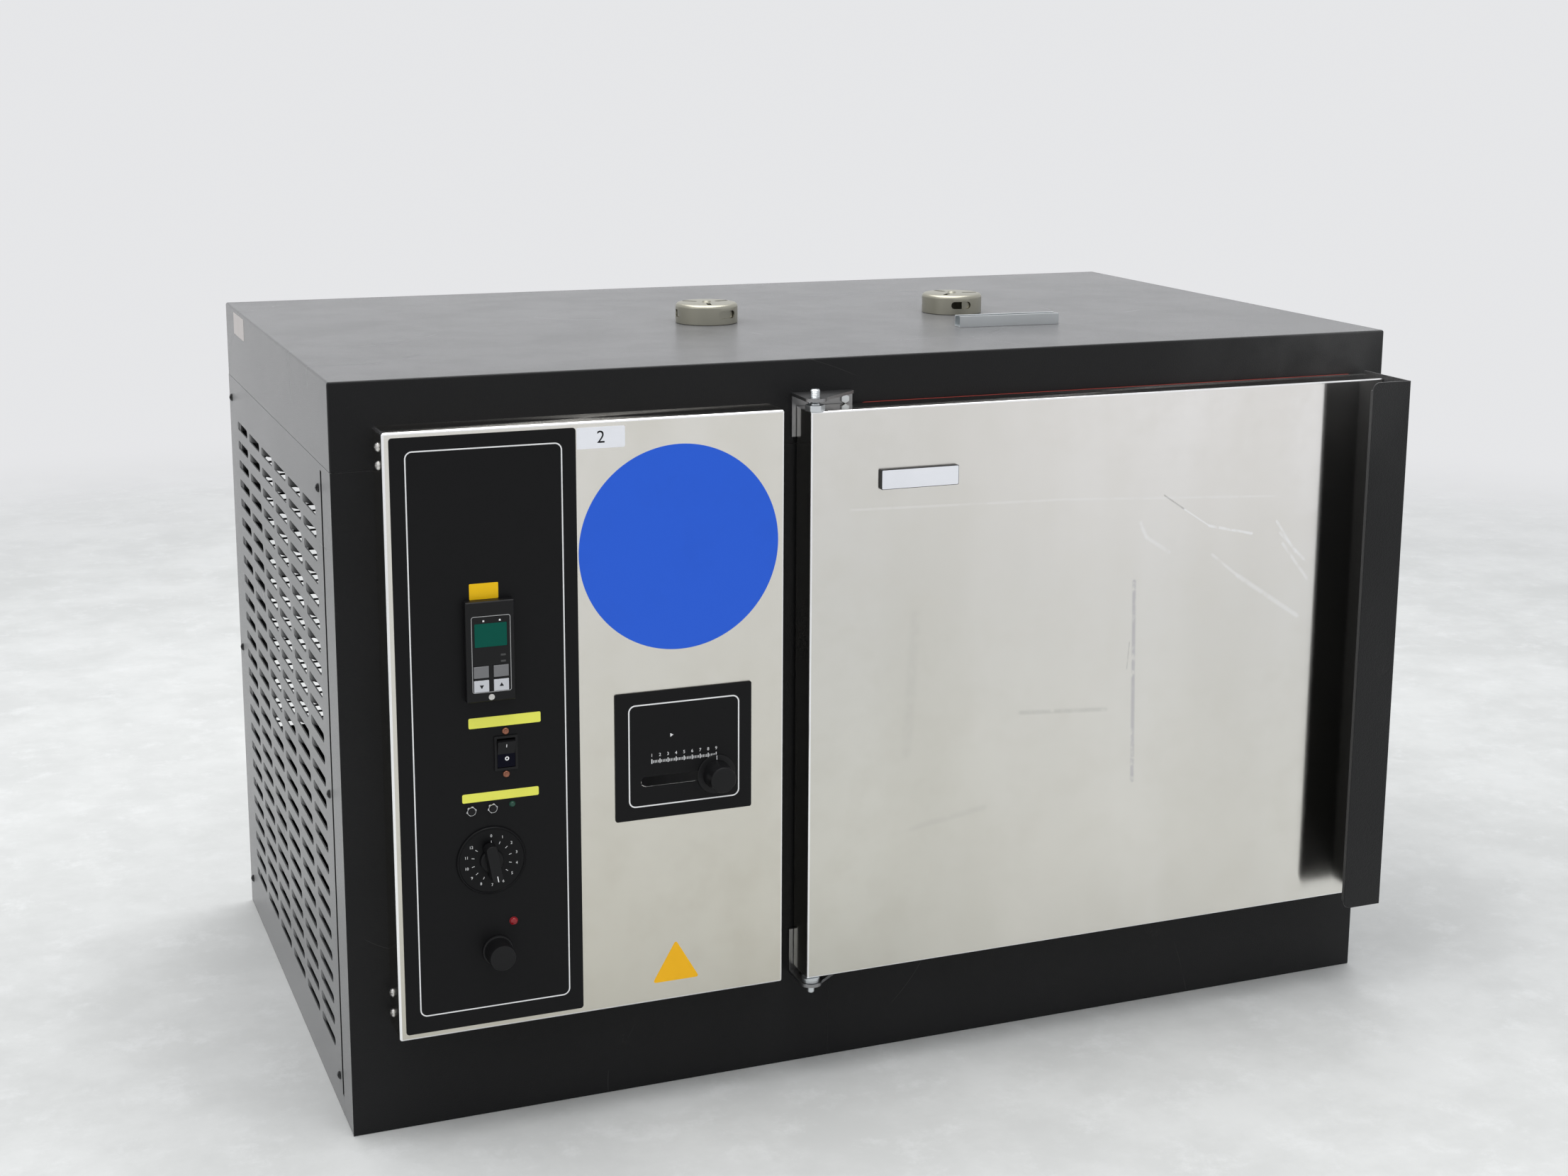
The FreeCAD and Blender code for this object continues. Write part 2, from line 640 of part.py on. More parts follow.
def insulation():
    """Mineral wool jacket round the liner."""
    jacket = block((BAY_WIDTH, LINER_X1 + LINER + SIDE_WOOL),
                   (TOP_FLANGE + FLANGE_GAP, LINER_Y1 + LINER + WOOL),
                   (LINER_Z0 - LINER - UNDER_WOOL, LINER_Z1 + LINER + TOP_WOOL))
    hollow = block((LINER_X0 - LINER, LINER_X1 + LINER), (0, LINER_Y1 + LINER),
                   (LINER_Z0 - LINER, LINER_Z1 + LINER))
    jacket = jacket.cut(hollow)
    jacket = jacket.cut(rod("x", BLOWER_AT, BAY_WIDTH - 1, LINER_X0, SHAFT_HOLE))
    jacket = jacket.cut(rod("x", (AIR_ROD_BACK, ROD_Z), BAY_WIDTH - 1, LINER_X0, PORT_RADIUS + PORT_WALL))
    for centre in VENT_CENTRES:
        jacket = jacket.cut(rod("z", centre, LINER_Z1, CASE_HEIGHT, VENT_BORE + PORT_WALL))
    save("insulation", jacket)


def depths(insets):
    """Two depths, set back from the case's front and forward from the liner's rear wall."""
    return (insets[0], LINER_Y1 - insets[1])


def duct_slots(w, insets):
    """Air slots in a duct wall, in a front and a rear column."""
    return [slot("x", w, (y, LINER_Z0 + DUCT_SLOT_FIRST + DUCT_SLOT_PITCH * row), *DUCT_SLOT)
            for y in depths(insets) for row in range(DUCT_SLOT_ROWS)]


def duct_walls():
    """Perforated walls on both sides of the working chamber."""
    low = (SHEET, LINER_Z0)
    high = (LINER_Y1, LINER_Z1)
    holes = duct_slots(DUCT_LEFT_X, LEFT_SLOT_INSETS)
    holes.append(circle("x", DUCT_LEFT_X, BLOWER_AT, SCROLL_INLET))
    save("left_duct_wall", sheet("x", DUCT_LEFT_X, LINER, rectangle("x", DUCT_LEFT_X, low, high), holes))
    holes = duct_slots(DUCT_RIGHT_X, RIGHT_SLOT_INSETS)
    save("right_duct_wall", sheet("x", DUCT_RIGHT_X, LINER, rectangle("x", DUCT_RIGHT_X, low, high), holes))


def shelf_supports():
    """Upright strips on the duct walls, and angle rails on them at each shelf level."""
    z = (LINER_Z0 + STANDARD_SHORT, LINER_Z1 - STANDARD_SHORT)
    left, right = STRIP_X
    strips = []
    rails = []
    for y in depths(STANDARD_INSETS):
        span = (y, y + STANDARD_WIDTH)
        strips.append(block((left - STANDARD_DEPTH, left), span, z))
        strips.append(block((right, right + STANDARD_DEPTH), span, z))
    run = depths(RAIL_INSETS)
    for level in SHELF_LEVELS:
        top = LINER_Z0 + level
        for edge, inward in ((left, 1), (right, -1)):
            across = sorted((edge, edge + inward * RAIL_WIDTH))
            upright = sorted((edge, edge + inward * RAIL_SHEET))
            tread = block(across, run, (top - RAIL_SHEET, top))
            side = block(upright, run, (top - RAIL_HEIGHT, top))
            rails.append(tread.fuse(side).removeSplitter())
    save("shelf_supports", *strips, *rails)


def wire_shelf(level):
    """Wire shelf: a bent frame with wires from front to back and two cross wires."""
    x0 = STRIP_X[0] + SHELF_PLAY
    x1 = STRIP_X[1] - SHELF_PLAY
    y0 = SHELF_FRONT
    y1 = LINER_Y1 - SHELF_REAR
    z = LINER_Z0 + level + PART_PLAY + SHELF_FRAME
    bars = []
    for x in (x0 + SHELF_FRAME, x1 - SHELF_FRAME):
        bars.append(Part.Face(regular("y", y0, (x, z), SHELF_FRAME, 8, 22.5)).extrude(V(0, y1 - y0, 0)))
    for y in (y0 + SHELF_FRAME, y1 - SHELF_FRAME):
        bars.append(Part.Face(regular("x", x0, (y, z), SHELF_FRAME, 8, 22.5)).extrude(V(x1 - x0, 0, 0)))
    for share in (1 / 3, 2 / 3):
        y = y0 + (y1 - y0) * share
        face = Part.Face(regular("x", x0 + SHELF_FRAME, (y, z), 0.8 * SHELF_FRAME, 8, 22.5))
        bars.append(face.extrude(V(x1 - x0 - 2 * SHELF_FRAME, 0, 0)))
    pitch = (x1 - x0 - 2 * SHELF_FRAME) / (SHELF_WIRES + 1)
    lift = SHELF_FRAME + 0.2 * SHELF_WIRE
    for wire in range(SHELF_WIRES):
        x = x0 + SHELF_FRAME + pitch * (wire + 1)
        face = Part.Face(regular("y", y0 + SHELF_WIRE, (x, z + lift), SHELF_WIRE, 6))
        bars.append(face.extrude(V(0, y1 - y0 - 2 * SHELF_WIRE, 0)))
    return bars[0].fuse(bars[1:])


def shelves():
    save("lower_shelf", wire_shelf(SHELF_LEVELS[0]))
    save("upper_shelf", wire_shelf(SHELF_LEVELS[1]))


def bracket(z_plate, z_leg0, z_leg1, hole):
    """Hinge bracket: a pointed plate over the pin and a leg screwed to the front."""
    x0 = PIN_X - BRACKET_LEFT
    x1 = x0 + BRACKET_WIDTH
    tangent = BRACKET_TIP * 0.97
    outline = polygon("z", z_plate, [(x0, 0), (PIN_X - tangent, PIN_Y), (PIN_X, PIN_Y),
                                     (PIN_X + 0.8 * tangent, PIN_Y - 0.45 * tangent), (x1, -6), (x1, 0)])
    plate = Part.Face(outline).extrude(V(0, 0, BRACKET_SHEET))
    plate = plate.fuse(rod("z", (PIN_X, PIN_Y), z_plate, z_plate + BRACKET_SHEET, BRACKET_TIP))
    plate = plate.cut(rod("z", (PIN_X, PIN_Y), z_plate - 1, z_plate + BRACKET_SHEET + 1, hole))
    leg = block((x0, x1), (-BRACKET_SHEET, 0), (z_leg0, z_leg1))
    return plate.fuse(leg).removeSplitter()


def hinge_brackets():
    z = DOOR_Z1 + TOP_PLATE_GAP
    save("top_hinge_bracket", bracket(z, z - TOP_LEG, z + BRACKET_SHEET, STUD_RADIUS + RUNNING_FIT))
    z = DOOR_Z0 - BOTTOM_PLATE_GAP - BRACKET_SHEET
    high = z + BRACKET_SHEET + BOTTOM_LEG
    save("bottom_hinge_bracket", bracket(z, z, high, PIN_RADIUS + RUNNING_FIT))


def hinge_studs():
    """Upper stud with its lock nut, and lower pin with its washer."""
    centre = (PIN_X, PIN_Y)
    stud = rod("z", centre, DOOR_Z1, DOOR_Z1 + STUD_TOP, STUD_RADIUS)
    stud = stud.makeChamfer(1.0, [edge for edge in stud.Edges if edge.BoundBox.ZMin > DOOR_Z1 + 1
                                  and edge.BoundBox.ZLength < 0.1])
    corner = NUT_FLATS / math.sqrt(3)
    nut = Part.Face(regular("z", DOOR_Z1, centre, corner, 6, 12)).extrude(V(0, 0, NUT_HEIGHT))
    nut = nut.cut(rod("z", centre, DOOR_Z1 - 1, DOOR_Z1 + NUT_HEIGHT + 1, STUD_RADIUS))
    pin = rod("z", centre, DOOR_Z0 - PIN_BELOW, DOOR_Z0, PIN_RADIUS)
    washer = rod("z", centre, DOOR_Z0 - BOTTOM_PLATE_GAP + PART_PLAY, DOOR_Z0, 2.4 * PIN_RADIUS)
    save("hinge_studs", stud, nut, pin.fuse(washer).removeSplitter())


def magnet_catch():
    save("magnet_catch", block((CATCH_X, CATCH_X + CATCH_WIDTH), (-CATCH_RISE, 0),
                               (CATCH_Z - CATCH_HEIGHT / 2, CATCH_Z + CATCH_HEIGHT / 2)))


def plug(inset, y0, y1):
    """Tapered plug on the door's back, drawn in by an inset for its inner faces."""
    x0 = OPEN_X0 + PLUG_PLAY + inset
    x1 = OPEN_X1 - PLUG_PLAY - inset
    z0 = LINER_Z0 + 0.86 * PLUG_PLAY + inset
    z1 = LINER_Z1 - 0.86 * PLUG_PLAY - inset
    t = PLUG_TAPER
    return loft(rectangle("y", y0, (x0, z0), (x1, z1)),
                rectangle("y", y1, (x0 + t, z0 + t), (x1 - t, z1 - t)))


def door():
    """Door pan, liner with its plug, filling, gasket and handle strip."""
    x, z = (DOOR_X0, DOOR_X1), (DOOR_Z0, DOOR_Z1)
    pan = block(x, (-DOOR_FRONT, -DOOR_BACK), z)
    edges = [edge for edge in pan.Edges if abs(edge.BoundBox.YMax + DOOR_FRONT) < 0.1]
    pan = pan.makeFillet(DOOR_BEND, edges)
    inner_x = (DOOR_X0 + LINER, DOOR_X1 - LINER)
    inner_z = (DOOR_Z0 + LINER, DOOR_Z1 - LINER)
    pan = pan.cut(block(inner_x, (LINER - DOOR_FRONT, 0), inner_z))
    save("door_shell", pan)
    back = block(inner_x, (-DOOR_BACK - LINER, -DOOR_BACK), inner_z)
    outer = plug(0, -DOOR_BACK, PLUG_REACH)
    hollow = plug(LINER, -DOOR_BACK - 2 * LINER, PLUG_REACH - LINER)
    strike = block((CATCH_X, CATCH_X + CATCH_WIDTH), (-DOOR_BACK, -CATCH_RISE - STRIKE_PLAY),
                   (CATCH_Z - CATCH_HEIGHT / 2, CATCH_Z + CATCH_HEIGHT / 2))
    save("door_liner", back.fuse([outer, strike]).cut(hollow).removeSplitter())
    filling = block(inner_x, (LINER - DOOR_FRONT, -DOOR_BACK - LINER), inner_z)
    save("door_insulation", filling)
    gx0 = OPEN_X0 - GASKET_LAP
    gx1 = DOOR_X1 - GASKET_EDGE
    gz0 = DOOR_Z0 + GASKET_LOW
    gz1 = DOOR_Z1 - GASKET_HIGH
    outer = rectangle("y", -DOOR_BACK, (gx0, gz0), (gx1, gz1), GASKET_CORNER)
    inner = rectangle("y", -DOOR_BACK, (gx0 + GASKET_WIDTH, gz0 + GASKET_WIDTH),
                      (gx1 - GASKET_WIDTH, gz1 - GASKET_WIDTH), 0.4 * GASKET_CORNER)
    save("door_gasket", sheet("y", -DOOR_BACK, DOOR_BACK - GASKET_PLAY, outer, [inner]))


def door_handle():
    """Full-height angle strip on the door's free side, standing out ahead of its face."""
    x1 = DOOR_X1 + HANDLE_SHEET
    x0 = x1 - HANDLE_WIDTH
    z0 = DOOR_Z0 + HANDLE_LOW
    z1 = DOOR_Z1 + HANDLE_HIGH
    web = block((DOOR_X1, x1), (-HANDLE_REACH, -HANDLE_ROOT), (z0, z1))
    strip = block((x0, x1), (-HANDLE_REACH, HANDLE_SHEET - HANDLE_REACH), (z0, z1))
    corners = [edge for edge in strip.Edges
               if abs(edge.BoundBox.XMax - x0) < 0.1 and edge.BoundBox.YLength > 1]
    strip = strip.makeFillet(HANDLE_CORNER, corners)
    lip = block((x0, x0 + HANDLE_SHEET), (-HANDLE_REACH, HANDLE_LIP - HANDLE_REACH),
                (z0 + HANDLE_CORNER, z1 - HANDLE_CORNER))
    save("door_handle", web.fuse([strip, lip]).removeSplitter())


def control_cover():
    """Raised cover of the control module, with cut-outs for everything that passes through."""
    body = block((MODULE_X, MODULE_X1), (COVER_Y, 0), (MODULE_Z, MODULE_Z1))
    edges = [edge for edge in body.Edges if edge.BoundBox.YMin < COVER_Y + 0.1]
    body = body.makeFillet(BEND, edges)
    body = body.cut(block((MODULE_X + SHEET, MODULE_X1 - SHEET), (COVER_Y + SHEET, -SHEET),
                          (MODULE_Z + SHEET, MODULE_Z1 - SHEET)))
    body = body.cut(block((MODULE_X + MODULE_FLANGE, MODULE_X1 - MODULE_FLANGE), (-2 * SHEET, 1),
                          (MODULE_Z + MODULE_FLANGE, MODULE_Z1 - MODULE_FLANGE)))
    for hole in front_holes(COVER_Y - 1):
        body = body.cut(sheet("y", COVER_Y - 1, SHEET + 2, hole))
    plate = on_module(AIR_PLATE_AT)
    centre = (plate[0] + AIR_SLOT_CENTRE[0], plate[1] + AIR_SLOT_CENTRE[1])
    body = body.cut(sheet("y", COVER_Y - 1, SHEET + 2, slot("y", COVER_Y - 1, centre, *AIR_SLOT)))
    for place in cover_screw_places():
        body = body.cut(sheet("x", MODULE_X - 1, MODULE_WIDTH + 2, screw_hole("x", MODULE_X - 1, place)))
    save("control_cover", body)


def front_holes(w):
    """Outlines, at w, of the holes that the overlay and the cover share."""
    corner = on_module(CONTROLLER_AT, CONTROLLER_EDGE, CONTROLLER_EDGE)
    far = on_module(CONTROLLER_AT, CONTROLLER_WIDTH - CONTROLLER_EDGE, CONTROLLER_HEIGHT - CONTROLLER_EDGE)
    holes = [rectangle("y", w, corner, far)]
    reach_x = ROCKER_BEZEL[0] / 2 - 1.5
    reach_z = ROCKER_BEZEL[1] / 2 - 1.5
    holes.append(rectangle("y", w, on_module(ROCKER_AT, -reach_x, -reach_z),
                           on_module(ROCKER_AT, reach_x, reach_z)))
    for place, radius in ((OFF_BUTTON_AT, BARREL_RADIUS), (RESET_BUTTON_AT, BARREL_RADIUS),
                          (HEATING_LAMP_AT, LAMP_BODY), (LIMIT_LAMP_AT, LAMP_BODY),
                          (TIMER_AT, 3 * SPINDLE), (LIMIT_AT, 3 * SPINDLE)):
        holes.append(circle("y", w, on_module(place), radius))
    return holes


def control_overlay():
    """Thin front panel on the left of the module."""
    x0 = MODULE_X + OVERLAY_INSET
    z0 = MODULE_Z + OVERLAY_INSET
    outer = rectangle("y", FACE_Y, (x0, z0), (x0 + OVERLAY_WIDTH, z0 + OVERLAY_HEIGHT), 3)
    save("control_overlay", sheet("y", FACE_Y, OVERLAY_SHEET, outer, front_holes(FACE_Y)))


def cover_screw_places():
    """Pairs of screws near the top and bottom of the module's sides, as (y, z)."""
    low = [(COVER_SCREWS_LOW[0], MODULE_Z + inset) for inset in COVER_SCREWS_LOW[1:]]
    high = [(COVER_SCREWS_HIGH[0], MODULE_Z1 - inset) for inset in COVER_SCREWS_HIGH[1:]]
    return low + high


def cover_screws():
    screws = [screw("x", place, MODULE_X, 1) for place in cover_screw_places()]
    screws += [screw("x", place, MODULE_X1, -1) for place in cover_screw_places()]
    save("cover_screws", *screws)


def controller():
    """Panel-mounted temperature controller: bezel, body behind the panel, display and keys."""
    x0, z0 = on_module(CONTROLLER_AT)
    front = FACE_Y - CONTROLLER_RISE
    case = block((x0, x0 + CONTROLLER_WIDTH), (front, FACE_Y), (z0, z0 + CONTROLLER_HEIGHT))
    edges = [edge for edge in case.Edges if edge.BoundBox.YMax < front + 0.1]
    case = case.makeChamfer(1.2, edges)
    edge = CONTROLLER_EDGE
    body = block((x0 + edge, x0 + CONTROLLER_WIDTH - edge), (FACE_Y, FACE_Y + CONTROLLER_DEPTH),
                 (z0 + edge, z0 + CONTROLLER_HEIGHT - edge))
    case = case.fuse(body)
    dx, dz = x0 + DISPLAY_AT[0], z0 + DISPLAY_AT[1]
    display = block((dx, dx + DISPLAY_SIZE[0]), (front, front + DISPLAY_THICK), (dz, dz + DISPLAY_SIZE[1]))
    case = case.cut(display)
    names = {(0, 0): "down_key", (1, 0): "up_key", (0, 1): "left_grey_key", (1, 1): "right_grey_key"}
    for (column, row), name in names.items():
        kx = x0 + KEY_COLUMNS[column]
        kz = z0 + KEY_ROWS[row]
        play = PART_PLAY
        floor = front - KEY_RISE + KEY_THICK + KEY_TRAVEL + play
        pocket = block((kx - play, kx + KEY_WIDTH + play), (front - 1, floor),
                       (kz - play, kz + KEY_HEIGHT + play))
        case = case.cut(pocket)
        key = block((kx, kx + KEY_WIDTH), (front - KEY_RISE, front - KEY_RISE + KEY_THICK),
                    (kz, kz + KEY_HEIGHT))
        edges = [edge for edge in key.Edges if edge.BoundBox.YMax < front - KEY_RISE + 0.1]
        save(name, key.makeChamfer(0.4, edges))
    save("controller_case", case.removeSplitter())
    save("controller_display", display)


def rocker_switch():
    """Switch bezel with its body, and the rocker on two trunnions, tipped to its off side."""
    x, z = on_module(ROCKER_AT)
    pivot_y = FACE_Y + 3.6
    w, h = ROCKER_BEZEL
    bezel = block((x - w / 2, x + w / 2), (FACE_Y - 1.5, FACE_Y), (z - h / 2, z + h / 2))
    body = block((x - w / 2 + 1.5, x + w / 2 - 1.5), (FACE_Y, FACE_Y + ROCKER_BODY_DEPTH),
                 (z - h / 2 + 1.5, z + h / 2 - 1.5))
    half = ROCKER_WIDTH / 2 + PART_PLAY
    cavity = block((x - half, x + half), (FACE_Y - 2, pivot_y + 5),
                   (z - ROCKER_CAVITY_HALF, z + ROCKER_CAVITY_HALF))
    bezel = bezel.fuse(body).cut(cavity)
    bore = rod("x", (pivot_y, z), x - half - 0.8, x + half + 0.8, TRUNNION + RUNNING_FIT)
    save("rocker_bezel", bezel.cut(bore))
    q = ROCKER_HALF
    face = polygon("x", x - ROCKER_WIDTH / 2,
                   [(FACE_Y - 3.4, z + q), (FACE_Y - 1.6, z), (FACE_Y - 3.4, z - q), (pivot_y - 0.5, z - q),
                    (pivot_y + 2, z - 4), (pivot_y + 2, z + 4), (pivot_y - 0.5, z + q)])
    rocker = Part.Face(face).extrude(V(ROCKER_WIDTH, 0, 0))
    rocker = rocker.fuse(rod("x", (pivot_y, z), x - half - 0.5, x + half + 0.5, TRUNNION))
    rocker.rotate(V(x, pivot_y, z), V(1, 0, 0), ROCKER_TILT)
    save("rocker", rocker)
    head = [(0, 0), (RIVET_RADIUS, 0), (0.72 * RIVET_RADIUS, -0.75 * RIVET_RISE), (0, -RIVET_RISE)]
    save("panel_rivets", *[turned(head, (x, z + offset), FACE_Y) for offset in (RIVET_OFFSET, -RIVET_OFFSET)])


def buttons_and_lamps():
    """Two push buttons in ring bushings, and the two indicator lamps."""
    rings = []
    for place, name in ((OFF_BUTTON_AT, "off_button"), (RESET_BUTTON_AT, "reset_button")):
        centre = on_module(place)
        bore = PLUNGER_RADIUS + PART_PLAY
        floor = FACE_Y + BARREL_DEPTH - 2
        ring = cone("y", centre, FACE_Y - RING_RISE, FACE_Y, RING_RADIUS - 0.6, RING_RADIUS)
        ring = ring.fuse(rod("y", centre, FACE_Y, FACE_Y + BARREL_DEPTH, BARREL_RADIUS))
        ring = ring.cut(rod("y", centre, FACE_Y - RING_RISE - 1, floor, bore))
        rings.append(ring)
        start = FACE_Y - RING_RISE - PLUNGER_RISE
        save(name, rod("y", centre, start, floor - BUTTON_TRAVEL - PART_PLAY, PLUNGER_RADIUS))
    save("button_bushings", *rings)
    lamps = []
    for place, radius in ((HEATING_LAMP_AT, HEATING_LAMP_RADIUS), (LIMIT_LAMP_AT, LIMIT_LAMP_RADIUS)):
        centre = on_module(place)
        dome = turned([(0, 0), (radius, 0), (radius, -0.3 * radius), (0.7 * radius, -0.75 * radius),
                       (0, -0.9 * radius)], centre, FACE_Y)
        lamps.append(dome.fuse(rod("y", centre, FACE_Y, FACE_Y + LAMP_LENGTH, LAMP_BODY)))
    save("panel_lamps", *lamps)


def timer():
    """Dial fixed to the panel, timer body behind it, and a bar knob on its spindle."""
    centre = on_module(TIMER_AT)
    face = FACE_Y - DIAL_THICK
    dial = cone("y", centre, face, FACE_Y, DIAL_RADIUS - 1.2, DIAL_RADIUS)
    neck = rod("y", centre, FACE_Y, COVER_Y + SHEET, 3 * SPINDLE)
    can = rod("y", centre, COVER_Y + SHEET, COVER_Y + SHEET + TIMER_CAN[1], TIMER_CAN[0])
    body = dial.fuse([neck, can])
    body = body.cut(rod("y", centre, face - 1, COVER_Y + SHEET + 20, SPINDLE + RUNNING_FIT))
    save("timer_body", body)
    back = face - KNOB_GAP
    width, height, rise = TIMER_GRIP
    skirt = cone("y", centre, back - SKIRT_THICK, back, TIMER_SKIRT - 1, TIMER_SKIRT)
    x, z = centre
    grip = sheet("y", back - SKIRT_THICK - rise, rise + 1,
                 rectangle("y", back - SKIRT_THICK - rise, (x - width / 2, z - height / 2),
                           (x + width / 2, z + height / 2), 0.35 * width))
    spindle = rod("y", centre, back - 1, COVER_Y + SHEET + 18, SPINDLE)
    save("timer_knob", skirt.fuse([grip, spindle]))


def limit_thermostat():
    """Over-temperature thermostat behind the panel and its plain round knob."""
    centre = on_module(LIMIT_AT)
    back = COVER_Y + SHEET
    body = rod("y", centre, FACE_Y, back, 3 * SPINDLE)
    body = body.fuse(rod("y", centre, back, back + LIMIT_CAN[1], LIMIT_CAN[0]))
    body = body.cut(rod("y", centre, FACE_Y - 1, back + 20, SPINDLE + RUNNING_FIT))
    save("limit_thermostat", body)
    seat = FACE_Y - KNOB_GAP
    knob = cone("y", centre, seat - LIMIT_LENGTH, seat - SKIRT_THICK, LIMIT_CAP - 0.8, LIMIT_CAP)
    knob = knob.fuse(rod("y", centre, seat - SKIRT_THICK, seat, LIMIT_BASE))
    knob = knob.fuse(rod("y", centre, seat - 1, back + 18, SPINDLE))
    save("limit_knob", knob)


def air_slider():
    """Scale plate with its slot, the knob that slides in it, and the damper on its rod."""
    x0, z0 = on_module(AIR_PLATE_AT)
    w = COVER_Y - AIR_PLATE_THICK
    outer = rectangle("y", w, (x0, z0), (x0 + AIR_PLATE[0], z0 + AIR_PLATE[1]), 2)
    centre = (x0 + AIR_SLOT_CENTRE[0], z0 + AIR_SLOT_CENTRE[1])
    save("air_plate", sheet("y", w, AIR_PLATE_THICK, outer, [slot("y", w, centre, *AIR_SLOT)]))
    seat = w - KNOB_GAP
    place = (ROD_X, ROD_Z)
    disc = rod("y", place, seat - AIR_PLATE_THICK, seat, AIR_DISC)
    front = seat - AIR_PLATE_THICK - AIR_CAP_LENGTH
    cap = cone("y", place, front, seat - AIR_PLATE_THICK, AIR_CAP - 0.8, AIR_CAP)
    save("air_knob", disc.fuse(cap))
    stem = rod("y", place, seat, AIR_ROD_BACK, AIR_ROD)
    line = (AIR_ROD_BACK, ROD_Z)
    disc_x = DUCT_LEFT_X - DAMPER_GAP
    arm = rod("x", line, ROD_X, disc_x, AIR_ROD)
    damper = rod("x", line, disc_x - 4, disc_x - 2.5, DAMPER_RADIUS)
    save("damper_slide", stem.fuse([arm, damper]).removeSplitter())
    port = tube("x", line, BAY_WIDTH - SHEET, LINER_X0, PORT_RADIUS + PORT_WALL, PORT_RADIUS)
    middle = BAY_WIDTH + WOOL / 2
    spider = block((middle - 4, middle + 4), (AIR_ROD_BACK - 3, AIR_ROD_BACK + 3),
                   (ROD_Z - PORT_RADIUS - 0.4, ROD_Z + PORT_RADIUS + 0.4))
    hub = rod("x", line, middle - 8, middle + 8, 2 * AIR_ROD)
    port = port.fuse([spider, hub])
    save("air_port", port.cut(rod("x", line, middle - 10, middle + 10, AIR_ROD + RUNNING_FIT)))


def sector(centre, half, turn, low, high, radius):
    """Wedge from the vent's axis, which cuts a window through a round wall."""
    a = math.radians(turn - half)
    b = math.radians(turn + half)
    reach = radius * 1.3
    corners = [centre, (centre[0] + reach * math.cos(a), centre[1] + reach * math.sin(a)),
               (centre[0] + reach * math.cos(b), centre[1] + reach * math.sin(b))]
    return Part.Face(polygon("z", low, corners)).extrude(V(0, 0, high - low))


def vents():
    """Fixed tubes with windowed collars, and the windowed caps that turn on them."""
    tubes = []
    for index, centre in enumerate(VENT_CENTRES):
        top = CASE_HEIGHT + VENT_CAP_HEIGHT
        roof = top - VENT_CAP_WALL
        collar_top = roof - VENT_FLOAT
        pipe = tube("z", centre, LINER_Z1, CASE_HEIGHT - 2 * SHEET, VENT_BORE + PORT_WALL, VENT_BORE)
        flange = tube("z", centre, CASE_HEIGHT - 2 * SHEET, CASE_HEIGHT - SHEET, VENT_COLLAR, VENT_BORE)
        collar = tube("z", centre, CASE_HEIGHT - SHEET, collar_top, VENT_COLLAR,
                      VENT_COLLAR - VENT_COLLAR_WALL)
        low = CASE_HEIGHT + VENT_WINDOW_LOW
        high = low + VENT_WINDOW_HEIGHT
        turns = [WINDOW_TURN + 360 * window / WINDOWS for window in range(WINDOWS)]
        for turn in turns:
            collar = collar.cut(sector(centre, VENT_WINDOW_HALF, turn, low, high, VENT_COLLAR))
        reach = VENT_COLLAR - VENT_COLLAR_WALL / 2
        bar = block((centre[0] - reach, centre[0] + reach),
                    (centre[1] - VENT_BAR[0] / 2, centre[1] + VENT_BAR[0] / 2),
                    (collar_top - VENT_BAR[1], collar_top))
        hub = rod("z", centre, collar_top - VENT_HUB[1], collar_top, VENT_HUB[0])
        fixed = pipe.fuse([flange, collar, bar, hub])
        bore = rod("z", centre, collar_top - VENT_HUB[1] - 1, collar_top + 1, VENT_BOLT + RUNNING_FIT)
        tubes.append(fixed.cut(bore))
        base = CASE_HEIGHT + VENT_FLOAT
        inner = VENT_CAP_RADIUS - VENT_CAP_WALL
        cap = rod("z", centre, base, top, VENT_CAP_RADIUS)
        rim = [edge for edge in cap.Edges if edge.BoundBox.ZMin > top - 0.1]
        cap = cap.makeChamfer(0.8, rim).cut(rod("z", centre, base - 1, roof, inner))
        for turn in turns:
            turn += VENT_OPEN_TURN[index]
            cap = cap.cut(sector(centre, VENT_WINDOW_HALF, turn, low, high, VENT_CAP_RADIUS))
            slit = slot("z", roof - 1, (centre[0] + CAP_SLIT_OUT, centre[1]), *CAP_SLIT)
            cut = sheet("z", roof - 1, VENT_CAP_WALL + 2, slit)
            cut.rotate(V(centre[0], centre[1], 0), V(0, 0, 1), turn - CAP_SLIT_TURN)
            cap = cap.cut(cut)
        bolt = rod("z", centre, collar_top - VENT_HUB[1], top, VENT_BOLT)
        radius, rise = VENT_BOLT_HEAD
        bolt = bolt.fuse(cone("z", centre, top, top + rise, radius, 0.8 * radius))
        save(("left_vent_cap", "right_vent_cap")[index], cap.fuse(bolt).removeSplitter())
    save("vent_tubes", *tubes)


